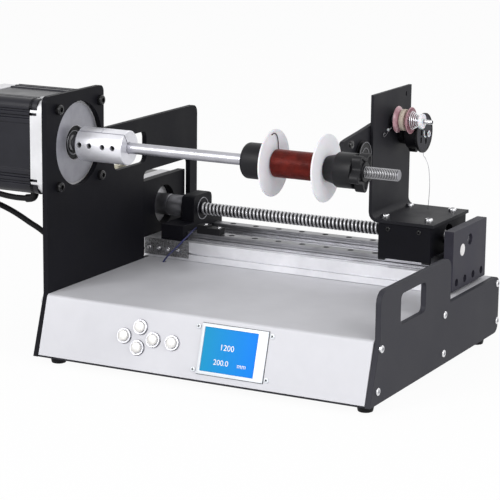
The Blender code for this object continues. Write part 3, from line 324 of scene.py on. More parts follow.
print("finishes")
finishBase = {"patch": 60, "gloss": (0.35, 0.5), "grain": 1500, "depth": 0.03, "metal": 0,
              "coat": 0, "soft": 0, "shine": 0.5}
finishLooks = {
    "powderBlack": {"slot": "black_anodised", "dark": (0.0035, 0.0035, 0.0055),
        "light": (0.006, 0.006, 0.009), "patch": 18, "gloss": (0.45, 0.6), "depth": 0.05,
        "shine": 0.1},
    "satinBlack": {"slot": "black_anodised", "dark": (0.011, 0.011, 0.014),
        "light": (0.018, 0.018, 0.022), "patch": 25, "gloss": (0.45, 0.6), "depth": 0.05,
        "shine": 0.12},
    # painted light: a lighter copy of the side plates' black, standing for the fill lamp's light
    # on the right side plate; the dial's face plate uses it too
    "litCharcoal": {"slot": "black_anodised", "dark": (0.028, 0.028, 0.035),
        "light": (0.036, 0.036, 0.044), "patch": 16, "gloss": (0.5, 0.62), "depth": 0.05,
        "shine": 0.15},
    # painted light: a lighter, bluer copy of the black anodised finish, for the fill lamp's light
    # on the end block
    "litSlate": {"slot": "black_anodised", "dark": (0.024, 0.023, 0.033),
        "light": (0.038, 0.037, 0.051), "patch": 30, "gloss": (0.45, 0.6), "grain": 1300,
        "depth": 0.05, "shine": 0.15},
    "blackPaint": {"slot": "black_paint", "dark": (0.006, 0.006, 0.01),
        "light": (0.011, 0.011, 0.017), "patch": 30, "gloss": (0.26, 0.38), "grain": 900,
        "depth": 0.02, "shine": 0.3},
    "silverCoat": {"slot": "silver_sheet", "dark": (0.5, 0.5, 0.53), "light": (0.58, 0.58, 0.61),
        "patch": 12, "gloss": (0.5, 0.62), "grain": 2600, "depth": 0.02, "metal": 0.2,
        "shine": 0.3},
    "turnedAluminium": {"slot": "aluminium", "dark": (0.74, 0.74, 0.79),
        "light": (0.86, 0.86, 0.91), "gloss": (0.28, 0.42), "grain": 2200, "metal": 0.6,
        "stretch": (1, 0.02, 0.02)},
    "castAluminium": {"slot": "aluminium", "dark": (0.62, 0.62, 0.64),
        "light": (0.75, 0.75, 0.77), "patch": 35, "gloss": (0.45, 0.6), "grain": 1100,
        "depth": 0.09, "metal": 0.6},
    "drawnAluminium": {"slot": "aluminium", "dark": (0.72, 0.72, 0.75),
        "light": (0.88, 0.88, 0.91), "patch": 25, "gloss": (0.3, 0.45), "grain": 1800,
        "depth": 0.05, "metal": 0.7, "stretch": (0.02, 1, 1)},
    # painted shade: a darker copy of the bells' aluminium for the pilot face, which turns away
    # from the key lamp
    "shadedAluminium": {"slot": "aluminium", "dark": (0.26, 0.26, 0.29), "light": (0.4, 0.4, 0.44),
        "patch": 35, "grain": 1800, "depth": 0.04, "metal": 0.6},
    "milledSteel": {"slot": "steel", "dark": (0.03, 0.03, 0.033), "light": (0.3, 0.3, 0.31),
        "patch": 700, "grain": 900, "depth": 0.25, "metal": 0.5, "stretch": (1, 1, 0.05)},
    "railSteel": {"slot": "steel", "dark": (0.2, 0.2, 0.21), "light": (0.3, 0.3, 0.32),
        "patch": 40, "gloss": (0.3, 0.42), "grain": 2500, "depth": 0.015, "metal": 1,
        "stretch": (0.03, 1, 1)},
    "ivoryPlastic": {"slot": "white_plastic", "dark": (0.72, 0.68, 0.52),
        "light": (0.84, 0.81, 0.68), "grain": 900},
    "groundSteel": {"slot": "steel", "dark": (0.38, 0.38, 0.41), "light": (0.5, 0.5, 0.54),
        "patch": 40, "gloss": (0.3, 0.42), "grain": 2500, "depth": 0.015, "metal": 1,
        "stretch": (1, 0.03, 0.03)},
    "brightSteel": {"slot": "steel", "dark": (0.62, 0.62, 0.64), "light": (0.78, 0.78, 0.8),
        "patch": 90, "gloss": (0.15, 0.25), "grain": 1800, "depth": 0.015, "metal": 1},
    "greySteel": {"slot": "steel", "dark": (0.18, 0.18, 0.2), "light": (0.3, 0.3, 0.32),
        "patch": 90, "gloss": (0.3, 0.42), "grain": 1800, "depth": 0.02, "metal": 0.9},
    "darkSteel": {"slot": "steel", "dark": (0.1, 0.1, 0.11), "light": (0.22, 0.22, 0.23),
        "patch": 90, "gloss": (0.2, 0.35), "metal": 0.9},
    "blackSteel": {"slot": "black_anodised", "dark": (0.005, 0.005, 0.006),
        "light": (0.013, 0.013, 0.014), "patch": 200, "gloss": (0.16, 0.28), "depth": 0.02,
        "shine": 0.4},
    "blackPlastic": {"slot": "black_plastic", "dark": (0.005, 0.005, 0.006),
        "light": (0.009, 0.009, 0.011), "gloss": (0.36, 0.5), "grain": 1300, "depth": 0.04,
        "shine": 0.2},
    "blackRubber": {"slot": "black_rubber", "dark": (0.005, 0.005, 0.006),
        "light": (0.009, 0.009, 0.01), "patch": 70, "gloss": (0.5, 0.7), "grain": 1000,
        "depth": 0.06, "shine": 0.15},
    "whitePlastic": {"slot": "white_plastic", "dark": (0.74, 0.74, 0.78),
        "light": (0.82, 0.82, 0.86), "patch": 30, "grain": 800, "soft": 0.15},
    "enamel": {"slot": "enamelled_wire", "dark": (0.075, 0.005, 0.003),
        "light": (0.17, 0.012, 0.006), "patch": 120, "gloss": (0.28, 0.38), "depth": 0.01,
        "metal": 0.35, "shine": 0.3},
    "darkEnamel": {"slot": "enamelled_wire", "dark": (0.014, 0.004, 0.003),
        "light": (0.035, 0.009, 0.006), "patch": 200, "gloss": (0.3, 0.4), "depth": 0.01},
    "pinkCeramic": {"slot": "pink_ceramic", "dark": (0.34, 0.17, 0.2), "light": (0.5, 0.28, 0.32),
        "patch": 150, "gloss": (0.2, 0.35), "grain": 1600, "coat": 0.4},
    "creamFelt": {"slot": "cream_felt", "dark": (0.45, 0.37, 0.3), "light": (0.66, 0.58, 0.5),
        "patch": 600, "gloss": (0.8, 0.95), "grain": 2600, "depth": 0.3},
    "blueCable": {"slot": "blue_cable", "dark": (0.01, 0.012, 0.06), "light": (0.02, 0.025, 0.13),
        "patch": 90, "grain": 900},
    "circuitBoard": {"slot": "green_board", "dark": (0.01, 0.08, 0.03),
        "light": (0.04, 0.22, 0.09), "patch": 400, "gloss": (0.3, 0.45), "grain": 700,
        "depth": 0.1},
    "supplyCase": {"slot": "silver_case", "dark": (0.5, 0.5, 0.52), "light": (0.62, 0.62, 0.64),
        "patch": 80, "grain": 1300, "depth": 0.05, "metal": 0.7},
    "bezelWhite": {"slot": "aluminium", "dark": (0.64, 0.67, 0.7), "light": (0.74, 0.77, 0.8),
        "gloss": (0.3, 0.4), "depth": 0.02, "metal": 0.1},
    "capSilver": {"slot": "aluminium", "dark": (0.56, 0.55, 0.54), "light": (0.7, 0.69, 0.67),
        "patch": 200, "gloss": (0.3, 0.42), "grain": 1800, "depth": 0.02, "metal": 0.3},
    "paleMark": {"slot": "white_plastic", "dark": (0.72, 0.7, 0.7), "light": (0.86, 0.85, 0.85),
        "patch": 300, "gloss": (0.5, 0.6), "grain": 900, "depth": 0.02},
}
finishes = {}


def setSockets(node, values):
    for socket, value in values.items():
        node.inputs[socket].default_value = value


def addNode(tree, kind, values=None):
    node = tree.nodes.new("ShaderNode" + kind)
    setSockets(node, values or {})
    return node


def link(source, output, target, socket):
    source.id_data.links.new(source.outputs[output], target.inputs[socket])


def newMaterial(name):
    mat = bpy.data.materials.new(name)
    mat.use_nodes = True
    return mat, mat.node_tree, mat.node_tree.nodes["Principled BSDF"]


def keepFinish(name, mat):
    finishes[name] = mat


def layFinish(name, values):
    look = {**finishBase, **values}
    mat, tree, shader = newMaterial(name)
    spot = addNode(tree, "TexCoord")
    patch = addNode(tree, "TexNoise", {"Scale": look["patch"], "Detail": 4, "Roughness": 0.6})
    ramp = addNode(tree, "ValToRGB")
    for element, position, shade in zip(ramp.color_ramp.elements, (0.3, 0.7), ("dark", "light")):
        element.position = position
        element.color = (*look[shade], 1)
    gloss = addNode(tree, "MapRange", {"From Min": 0.3, "From Max": 0.7,
                                       "To Min": look["gloss"][0], "To Max": look["gloss"][1]})
    along = addNode(tree, "Mapping", {"Scale": look.get("stretch", (1, 1, 1))})
    grain = addNode(tree, "TexNoise", {"Scale": look["grain"], "Detail": 2})
    bump = addNode(tree, "Bump", {"Strength": 0.5, "Distance": look["depth"] * mm})
    link(spot, "Object", patch, "Vector")
    link(spot, "Object", along, "Vector")
    link(along, "Vector", grain, "Vector")
    link(patch, "Fac", ramp, "Fac")
    link(grain if "stretch" in look else patch, "Fac", gloss, "Value")
    link(ramp, "Color", shader, "Base Color")
    link(gloss, "Result", shader, "Roughness")
    link(grain, "Fac", bump, "Height")
    link(bump, "Normal", shader, "Normal")
    setSockets(shader, {"Metallic": look["metal"], "Coat Weight": look["coat"],
                        "Coat Roughness": 0.15, "Subsurface Weight": look["soft"],
                        "Specular IOR Level": look["shine"], "Subsurface Scale": 0.003})
    keepFinish(name, mat)
    return tree, shader, spot, ramp


for finishName, finishLook in finishLooks.items():
    layFinish(finishName, finishLook)


def dressNode(node, finish, soft=0.3, segments=2):
    # a copy of a CAD node with softened edges, which stands for it
    source = frame["nodes"][node]
    piece = bpy.data.objects.new(node + "_dressed", source.data.copy())
    scene.collection.objects.link(piece)
    openMesh(piece)
    bpy.ops.mesh.customdata_custom_splitnormals_clear()
    bpy.ops.mesh.remove_doubles(threshold=weldGap)
    bpy.ops.mesh.dissolve_limited(angle_limit=math.radians(flatAngle))
    closeMesh()
    if soft:
        bevelEdges(piece, soft, segments)
    smoothByAngle(piece)
    evenNormals(piece)
    return fit(piece, source["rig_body"], finish, node)


threadSteel = {"slot": "steel", "dark": (0.42, 0.42, 0.44), "light": (0.62, 0.62, 0.64),
               "patch": 90, "gloss": (0.34, 0.48), "grain": 1800, "depth": 0.015, "metal": 0.8}
threadLooks = {
    "rodThreadSteel": {"line": spindleLine, "root": 4.2, "crest": 4.95},
    "ballScrewSteel": {"line": screwLine, "root": 5.2, "crest": 5.95},
}
# painted shade for the thread roots
grooveShadeColour = (0.012, 0.012, 0.013, 1)


def layThreadFinish(name, line, root, crest):
    # steel with painted shade in its grooves: darker nearer the screw's own axis, told by the
    # distance from it
    tree, shader, spot, ramp = layFinish(name, threadSteel)
    axisSpot = place(0, *line)
    flatten = addNode(tree, "Mapping", {"Location": (0, -axisSpot.y, -axisSpot.z),
                                        "Scale": (0, 1, 1)})
    reach = addNode(tree, "VectorMath")
    reach.operation = "LENGTH"
    depth = addNode(tree, "MapRange", {"From Min": root * mm, "From Max": crest * mm})
    mix = addNode(tree, "Mix")
    mix.data_type = "RGBA"
    setSockets(mix, {"A": grooveShadeColour})
    link(spot, "Object", flatten, "Vector")
    link(flatten, "Vector", reach, 0)
    link(reach, "Value", depth, "Value")
    link(depth, "Result", mix, "Factor")
    link(ramp, "Color", mix, "B")
    link(mix, "Result", shader, "Base Color")


for threadName, look in threadLooks.items():
    layThreadFinish(threadName, **look)

# cords lie on the routes of their solids

cordLooks = {
    "motorCable": {"radius": 2.7, "body": "frame", "node": "motor_cable", "spacing": 11,
                   "finish": "blackRubber", "stiffness": "medium", "lay": "hanging",
                   "route": [
        (-37.3, -30, -49.6), (-43, -30, -49.7), (-52, -30, -50), (-62, -30, -49),
        (-72, -30, -47.8), (-81.5, -29.4, -47.5), (-90.5, -27, -48.7), (-98.5, -21.2, -51.7),
        (-104, -12.5, -55.8), (-105, -2, -60.5), (-101.5, 8, -65.5), (-94, 15, -70.5),
        (-82, 18.8, -76.8), (-68.5, 20, -84), (-56, 21.2, -90.5), (-49.5, 24, -97.2),
        (-46.5, 28.5, -105.5), (-45.5, 34.5, -115), (-45, 41, -124.5), (-44, 47.8, -133.5),
        (-41.5, 54.5, -142), (-34.6, 59, -148), (-31.6, 60, -150), (-28.6, 60, -150),
        (-16.6, 60, -150)]},
    "sensorCable": {"radius": 0.8, "body": "frame", "node": "sensor_cable", "spacing": 2.2,
                    "finish": "blueCable", "stiffness": "limp", "lay": "loose", "route": [
        (49.7, 134.5, -97.5), (47, 134.5, -97.8), (44.5, 131.3, -100.3), (42, 126.8, -104.5),
        (39.4, 121, -108.8), (36, 118, -113.4), (31.6, 115, -118.5), (27.5, 112, -123.5),
        (24.2, 110, -129), (24.2, 110, -131.8)]},
    "wireTail": {"radius": 0.25, "body": "wire_carriage", "node": "wire_tail", "spacing": 2.8,
                 "finish": "groundSteel", "stiffness": "medium", "lay": "hanging", "route": [
        (257, 188, -13.8), (257.2, 188, -16.5), (258.5, 189.5, -19), (261.2, 190.5, -26),
        (262.4, 191, -35), (262.8, 191.5, -45), (262.2, 192.2, -55), (261.3, 193, -64),
        (261, 193.2, -66.2)]},
}
for cordName, look in cordLooks.items():
    path = smoothPath(evenPath(look["route"], look["spacing"]), 3)
    cordPiece = wire(cordName, path, look["radius"], 4)
    fit(cordPiece, look["body"], look["finish"], look["node"])

# side plates, cover and feet

print("case")
dressNode("left_side_plate", "powderBlack", 0.5)
# painted light: the right plate is the same black as the left one, painted lighter for the fill
# lamp's light on it
dressNode("right_side_plate", "litCharcoal", 0.5)
dressNode("base_cover", "silverCoat", 0)
dressNode("bottom_plate", "blackPaint", 0.2)

footLook = {"radius": 7.5, "foot": 6.6, "height": 6, "left": 13.5, "right": 315,
            "front": -58.1, "back": 189.3}
for node, side, end in (("foot_front_left", "left", "front"),
                        ("foot_front_right", "right", "front"),
                        ("foot_back_left", "left", "back"),
                        ("foot_back_right", "right", "back")):
    low, high = floorZ, floorZ + footLook["height"]
    fit(turned(node + "_turned", [
        (low, footLook["foot"] - 1), (low + 0.3, footLook["foot"] - 0.3),
        (low + 1, footLook["foot"]), (high - 0.6, footLook["radius"]),
        (high - 0.1, footLook["radius"] - 0.2), (high, footLook["radius"] - 0.6)],
        (footLook[side], footLook[end]), 40, False, "Z"), "frame", "blackRubber", node)

# screws are modelled once for each kind and copied

print("screws")
screwKinds = {
    "case": {"radius": 3.4, "height": 1.9, "hex": 1.7, "deep": 1.3, "finish": "brightSteel"},
    "motor": {"radius": 4.7, "height": 4, "hex": 2.5, "deep": 2.4, "finish": "blackSteel"},
    "bracket": {"radius": 3.8, "height": 2.9, "hex": 2.1, "deep": 2.2, "finish": "brightSteel"},
    "small": {"radius": 1.9, "height": 1.1, "hex": 0.9, "deep": 0.7, "finish": "brightSteel"},
    "panel": {"radius": 2.2, "height": 1.2, "hex": 0.9, "deep": 0.8, "finish": "bezelWhite"},
    "set": {"radius": 2.3, "height": 3.5, "hex": 1.3, "deep": 1.6, "finish": "blackSteel"},
    "end": {"radius": 3.4, "height": 5.4, "hex": 1.9, "deep": 2.5, "finish": "darkSteel"},
}


def makeScrew(kind, look):
    # stands on the world's origin with its head up Z
    radius, height = look["radius"] * mm, look["height"] * mm
    bpy.ops.mesh.primitive_cylinder_add(vertices=28, radius=radius, depth=height,
                                        location=(0, 0, height / 2))
    screw = bpy.context.object
    screw.name = kind + "_screw"
    settle(screw)
    openMesh(screw)
    selectFaces(screw, lambda face: face.normal.z > 0.9)
    bpy.ops.mesh.bevel(offset=min(height * 0.45, radius * 0.3), segments=4, affect="EDGES")
    closeMesh()
    bpy.ops.mesh.primitive_cylinder_add(vertices=6, radius=look["hex"] * mm,
                                        depth=2 * look["deep"] * mm, location=(0, 0, height))
    socket = bpy.context.object
    settle(socket)
    cutWith(screw, socket)
    smoothByAngle(screw, 40)
    return screw


screwSamples = {kind: makeScrew(kind, look) for kind, look in screwKinds.items()}
turnTo = {
    "+X": Matrix.Rotation(math.pi / 2, 4, "Y"),
    "-X": Matrix.Rotation(-math.pi / 2, 4, "Y"),
    "-Y": Matrix.Rotation(math.pi / 2, 4, "X"),
    "+Y": Matrix.Rotation(-math.pi / 2, 4, "X"),
    "+Z": Matrix.Identity(4),
}


def putScrew(kind, name, spot, facing, body, spin=0.0):
    turn = facing if isinstance(facing, Matrix) else turnTo[facing]
    matrix = Matrix.Translation(place(*spot)) @ turn @ Matrix.Rotation(math.radians(spin), 4, "Z")
    return fit(copyTo(screwSamples[kind], name, matrix), body, screwKinds[kind]["finish"])


caseScrewPlaces = ((-52, -136), (-58, -171), (83.5, -137), (83, -172), (211.5, -135),
                   (213, -171))
for i, (y, z) in enumerate(caseScrewPlaces):
    putScrew("case", "case_screw_right_%d" % i, (325, y, z), "+X", "frame", 17 * i)
    putScrew("case", "case_screw_left_%d" % i, (-5, y, z), "-X", "frame", 23 * i)
motorBolt = 34.8
for i, (y, z) in enumerate(((-1, -1), (-1, 1), (1, -1), (1, 1))):
    putScrew("motor", "motor_screw_%d" % i, (0, y * motorBolt, z * motorBolt), "+X", "frame",
             31 * i)
for i, (x, y) in enumerate(((243.5, 135), (286.5, 135), (243.5, 191), (286.5, 191))):
    putScrew("bracket", "bracket_screw_%d" % i, (x, y, -66.5), "+Z", "wire_carriage", 19 * i)
for i in range(4):
    putScrew("end", "end_screw_%d" % i, (307.6, 133 + 20 * i, -119.3), "+X", "frame", 13 * i)
for i, x in enumerate((9.3, 19.7, 33.4, 43.9)):
    putScrew("set", "clamp_screw_%d" % i, (x, -9.9, 1), "-Y", "spindle", 27 * i)

# front panel

print("panel")
panelLook = {"bottom": (-71.6, -182.9), "angle": math.atan2(54.1, 16.2)}
panelTurn = Matrix.Rotation(panelLook["angle"], 4, "X")
panelAcross = Matrix.Translation(place(0, *panelLook["bottom"])) @ panelTurn


def onPanel(x, up, out=0.0):
    # a matrix whose Z is the panel's normal, at a place on the panel
    return panelAcross @ Matrix.Translation(Vector((x, up, out)) * mm)


buttonPlaces = {"up": (100.3, 39.6), "left": (85.3, 30.1), "right": (114.5, 30.1),
                "down": (99.8, 21.4), "enter": (133.5, 29.9)}
worldZero = -machineOrigin / mm


def turnedFlat(name, outline, closed=True):
    # turned about the world's Z, to be moved by a matrix later
    outline = [(z + worldZero.z, r) for z, r in outline]
    return turned(name, outline, worldZero.xy, 48, closed, "Z")


ringSample = turnedFlat("ring_sample", [
    (0.05, 6.9), (0.5, 6.9), (0.8, 6.6), (1.7, 6.35), (2.2, 5.95), (2.2, 5.6), (1.6, 5.35),
    (-1.2, 5.35), (-1.2, 5.5), (0.05, 5.5)])
capSample = turnedFlat("cap_sample", [
    (0.5, 4.9), (3.3, 4.9), (3.75, 4.75), (4.05, 4.3), (4.2, 3.6), (4.22, 1.5)], False)
for name, (x, up) in buttonPlaces.items():
    fit(copyTo(ringSample, "button_ring_" + name, onPanel(x, up)), "frame", "greySteel")
    fit(copyTo(capSample, "button_cap_" + name, onPanel(x, up)), name + "_key",
        "capSilver", "button_" + name)
dressNode("button_block", "turnedAluminium", 0)

displayLook = {"left": 160.8, "right": 224.5, "low": 7.4, "high": 51.3, "thick": 1.6,
               "border": 2.8, "wide": 9, "sink": 0.8, "seam": 0.45}


def panelBlock(name, x0, up0, x1, up1, back, front, soft=0.3):
    piece = cube(name, Vector((x0, up0, back)) * mm, Vector((x1, up1, front)) * mm, soft)
    piece.data.transform(panelAcross)
    return piece


screenLook = {"left": (0.005, 0.2, 0.36, 1), "right": (0.001, 0.15, 0.58, 1), "span": 55,
              "glow": 0.42, "gloss": 0.35, "shine": 0.1}


def lcdFinish(look):
    # a lit screen, a little deeper blue toward the right
    mat, tree, shader = newMaterial("litScreen")
    spot = addNode(tree, "TexCoord")
    split = addNode(tree, "SeparateXYZ")
    edge = place(displayLook["left"], 0, 0).x
    across = addNode(tree, "MapRange", {"From Min": edge, "From Max": edge + look["span"] * mm})
    ramp = addNode(tree, "ValToRGB")
    ramp.color_ramp.elements[0].color = look["left"]
    ramp.color_ramp.elements[1].color = look["right"]
    dots = addNode(tree, "TexNoise", {"Scale": 2500, "Detail": 1})
    bump = addNode(tree, "Bump", {"Strength": 0.2, "Distance": 0.00001})
    link(spot, "Object", split, "Vector")
    link(split, "X", across, "Value")
    link(across, "Result", ramp, "Fac")
    link(ramp, "Color", shader, "Base Color")
    link(ramp, "Color", shader, "Emission Color")
    link(spot, "Object", dots, "Vector")
    link(dots, "Fac", bump, "Height")
    link(bump, "Normal", shader, "Normal")
    setSockets(shader, {"Emission Strength": look["glow"], "Roughness": look["gloss"],
                        "Specular IOR Level": look["shine"]})
    keepFinish("litScreen", mat)


lcdFinish(screenLook)
look = displayLook
left, right, low, high, border = (look[key] for key in ("left", "right", "low", "high", "border"))
bezel = panelBlock("display_bezel", left, low, right, high, -1.8, look["thick"], 0.4)
window = panelBlock("display_window", left + border, low + border, right - look["wide"],
                    high - border, -5, 5, 0)
fit(cutWith(bezel, window), "frame", "bezelWhite", "display_frame")
# painted shade: a black strip just outside the bezel stands for the shadow line in the gap around
# it
fit(panelBlock("display_shade_line", left - look["seam"], low - look["seam"], right + look["seam"],
               high + look["seam"], -1.5, 0.25, 0), "frame", "blackPaint")
fit(panelBlock("display_glass", left + border + 0.1, low + border + 0.1,
               right - look["wide"] - 0.1, high - border - 0.1, -1.7,
               look["thick"] - look["sink"], 0.1), "frame", "litScreen", "display_screen")


def litText(name, words, size, x, up):
    bpy.ops.object.text_add()
    sign = bpy.context.object
    sign.name = name
    sign.data.body = words
    sign.data.size = size * mm
    sign.data.extrude = 0.05 * mm
    sign.data.align_x = "CENTER"
    meshOf(sign)
    sign.data.transform(onPanel(x, up, displayLook["thick"] - displayLook["sink"] + 0.06))
    fit(sign, "frame", "paleMark")


for name, words, size, x, up in (("display_turns", "1200", 7, 187, 30),
                                 ("display_width", "200.0", 6.6, 183, 17),
                                 ("display_unit", "mm", 5.6, 203, 17)):
    litText(name, words, size, x, up)

slot = {"long": 2.6, "wide": 0.55, "rise": 1, "top": 1.35}
for i, (x, up) in enumerate(((157, 10.4), (157, 47.8), (227.8, 10.4), (227.8, 47.8))):
    spot = (onPanel(x, up).translation - machineOrigin) / mm
    putScrew("panel", "display_screw_%d" % i, spot, panelTurn, "frame", 20 * i)
    # painted shade: raised black bars on each panel screw stand for the shade inside its cross
    # recess
    bars = []
    for turn in (0, 90):
        reach = Vector((slot["long"] / 2, slot["wide"] / 2, slot["top"])) * mm
        bar = cube("bar", Vector((-reach.x, -reach.y, slot["rise"] * mm)), reach, 0)
        bevelEdges(bar, 0.1, 1)
        bar.data.transform(onPanel(x, up) @ Matrix.Rotation(math.radians(turn + 20 * i), 4, "Z"))
        bars.append(bar)
    fit(joinPieces(bars, "display_screw_cross_%d" % i), "frame", "blackSteel")

# spindle motor

print("spindle motor")
motorLook = {
    "half": 43, "round": 8, "start": -88.2, "end": -25,
    # distance from the middle of a side, depth below the square
    "side": ((20.5, 1.5), (21.5, 0.3), (25, 0.3), (26, 1.7), (27.6, 1.7), (28.6, 0.0),
             (31, 0.0), (31.8, 1.3), (33.2, 1.3), (34, 0.0)),
    "lobes": ((21.5, -21.5), (28.6, -17.5)), "proud": 0.15,
    "boot": ((-28.8, -30, -41), (-28.8, -30, -44.2), (-29.8, -30, -46.9),
             (-32.4, -30, -48.7), (-37.6, -30, -49.6)), "bootRadius": 3.7}
look = motorLook
end = look["end"]


def cornerLine(first, proud=0.0):
    # the outline of one corner of the motor, from a side's middle round to the next side
    half, soft = look["half"] + proud, look["round"]
    marks = [(a, d) for a, d in look["side"] if a >= first]
    up = [(-half + d, a) for a, d in marks]
    bend = [(-half + soft * (1 - math.cos(math.radians(t))),
             half - soft * (1 - math.sin(math.radians(t)))) for t in range(0, 91, 15)]
    return up + bend + [(-z, -y) for y, z in reversed(up)]


def quarter(points, k):
    for _ in range(k):
        points = [(z, -y) for y, z in points]
    return points


case = []
for k in range(4):
    case += quarter(cornerLine(0), k)
body = drawn("motor_case", [(end, y, z) for y, z in case], (look["start"] - end, 0, 0))
bevelEdges(body, 0.25, 2, 25)
lobes = []
for first, reach in look["lobes"]:
    for k in range(4):
        ring = quarter(cornerLine(first, look["proud"]), k)
        lobe = drawn("lobe", [(end - 0.5, y, z) for y, z in ring], (reach - end + 0.5, 0, 0))
        bevelEdges(lobe, 0.25, 2, 25)
        lobes.append(lobe)
body = joinPieces([body] + lobes, "motor_case")
smoothByAngle(body)
evenNormals(body)
fit(body, "frame", "blackPaint")
boot = meshOf(wire("cable_boot", smoothPath(look["boot"], 5), look["bootRadius"], 5))
smoothByAngle(boot, 40)
fit(boot, "frame", "blackRubber", "motor_body")
bell = dressNode("motor_front_bell", "castAluminium", 0.6)
cutWith(bell, peg("pilot_recess", 15.5, -8, 6, spindleLine, 72))
smoothByAngle(bell)
evenNormals(bell)
dressNode("motor_rear_bell", "castAluminium", 1.2, 3)
fit(turned("shaft_seal", [
    (-8, 15.2), (-6.6, 15.2), (-6.3, 14.8), (-6.3, 11.8), (-6.6, 11.4), (-6.6, 8.6),
    (-6.2, 8.2), (-6.2, 7.6), (-8, 7.6)], spindleLine, 72), "frame", "blackPlastic")
# painted shade: a thin dark disc over the pilot face, which is cast aluminium like the bell but
# faces away from the key lamp
fit(turned("pilot_face_shade", [(-4.5, 15.8), (-4.34, 15.8), (-4.34, 36.1), (-4.5, 36.1)],
           spindleLine, 96), "frame", "shadedAluminium")
fit(turned("shaft_race", [(-6.7, 11.3), (-5.7, 11.3), (-5.5, 11.1), (-5.5, 10.3),
                          (-5.7, 10.1), (-6.7, 10.1)], spindleLine, 72), "frame", "darkSteel")
fit(turned("motor_shaft_turned", [(-4.7, 6.6), (-4.4, 7), (26.4, 7), (27, 6.4)],
           spindleLine, 48, False), "spindle", "groundSteel", "motor_shaft")

# spindle coupling, rod and clamping pieces

print("spindle")
couplingLook = {"start": 4.5, "end": 52.5, "radius": 15.5, "edge": 0.6, "shaftBore": 7.3,
                "shaftEnd": 29.2, "slit": 0.5, "seamAngle": 34.3, "crossSlit": (28.2, 28.8),
                "holes": (9.3, 19.7, 33.4, 43.9), "hole": 2.5, "holeUp": 1}
look = couplingLook
start, end, radius, edge = (look[key] for key in ("start", "end", "radius", "edge"))
coupling = turned("clamp_coupling", [
    (start, radius - edge), (start + edge, radius), (end - edge, radius), (end, radius - edge),
    (end, rodBore), (look["shaftEnd"], rodBore), (look["shaftEnd"], look["shaftBore"]),
    (start, look["shaftBore"])], spindleLine, 96)
seam = block("seam", (start - 1, -look["slit"], 4), (end + 1, look["slit"], 17), 0)
turnSeam = Matrix.Rotation(math.radians(look["seamAngle"]), 4, "X")
axisSpot = place(0, 0, 0)
seam.data.transform(Matrix.Translation(axisSpot) @ turnSeam @ Matrix.Translation(-axisSpot))
x0, x1 = look["crossSlit"]
cross = block("cross_slit", (x0, -9, 11.5), (x1, 17, 17), 0)
bores = []
for i, x in enumerate(look["holes"]):
    bores.append(peg("bore_%d" % i, look["hole"], -16.5, 7, (x, look["holeUp"]), 24, "Y"))
cutWith(coupling, seam, cross, *bores)
smoothByAngle(coupling, 30)
fit(coupling, "spindle", "turnedAluminium", "shaft_coupling")

rodLook = {"start": 29.5, "threadStart": 240, "end": 315, "radius": 5, "pitch": 1.5}
look = rodLook
end = look["end"]
fit(turned("rod_shank", [
    (look["start"], 4.6), (look["start"] + 0.4, look["radius"]),
    (look["threadStart"], look["radius"]), (look["threadStart"] + 0.6, 4.3)],
    spindleLine, 64, False), "spindle", "groundSteel", "spindle_rod")


def screwThread(name, look, line, steps=32):
    # one turn of a zigzag, screwed along X, then cut flat at both ends
    pitch = look["pitch"]
    chain = look["chain"]
    mesh = bpy.data.meshes.new(name)
    begin = look["start"] - pitch
    verts = [place(begin + pitch * along, line[0], line[1] + radius) for along, radius in chain]
    mesh.from_pydata(verts, [(i, i + 1) for i in range(len(verts) - 1)], [])
    piece = bpy.data.objects.new(name, mesh)
    scene.collection.objects.link(piece)
    centre = place(0, *line)
    piece.data.transform(Matrix.Translation(-centre))
    turns = int((look["end"] - begin) / pitch) + 2
    wind = piece.modifiers.new("wind", "SCREW")
    wind.axis = "X"
    wind.screw_offset = pitch * mm
    wind.iterations = turns
    wind.steps = wind.render_steps = steps
    wind.use_merge_vertices = True
    wind.merge_threshold = 2.5 * weldGap
    applyModifiers(piece)
    piece.data.transform(Matrix.Translation(centre))
    for along, side in ((look["start"], False), (look["end"], True)):
        openMesh(piece)
        bpy.ops.mesh.bisect(plane_co=place(along, *line), plane_no=(1, 0, 0), use_fill=True,
                            clear_inner=not side, clear_outer=side)
        closeMesh()
    tidyMesh(piece)
    smoothByAngle(piece, 50)
    return piece


fit(screwThread("rod_thread", {
    "start": look["threadStart"], "end": end - 0.6, "pitch": look["pitch"],
    "chain": [(0, 4.15), (0.12, 4.15), (0.45, 4.95), (0.6, 4.95), (0.93, 4.15), (1, 4.15)]},
    spindleLine), "spindle", "rodThreadSteel")
fit(turned("rod_tip", [(end - 0.9, 4.5), (end - 0.5, 4.5), (end, 3.9)], spindleLine, 48, False),
    "spindle", "greySteel")

cupLook = {"start": 170.5, "end": 196.1, "radius": 15.75, "round": 4}
look = cupLook
start, end = look["start"], look["end"]
cupCorner = [(start + look["round"] * (1 - math.sin(t)),
              look["radius"] - look["round"] * (1 - math.cos(t)))
             for t in (math.pi / 2, 1.3, 1, 0.75, 0.5, 0.25, 0)]
fit(turned("drive_cup_turned", [(start, 5.1), (start, 6.2)] + cupCorner + [
    (end - 0.5, look["radius"]), (end, look["radius"] - 0.5), (end, 5.1)],
    spindleLine, 96), "spindle", "blackPlastic", "drive_cup")

bobbinLook = {"start": 196.4, "end": 247.9, "flange": 29.25, "thick": 1.6, "barrel": 10.45}
look = bobbinLook
start, end, thick, barrel = (look[key] for key in ("start", "end", "thick", "barrel"))


def flange(inner, outer):
    step = 1 if outer > inner else -1
    return [(inner, look["flange"] - 0.5), (inner + 0.15 * step, look["flange"] - 0.15),
            (inner + 0.5 * step, look["flange"]), (outer - 0.5 * step, look["flange"]),
            (outer - 0.15 * step, look["flange"] - 0.15), (outer, look["flange"] - 0.5)]


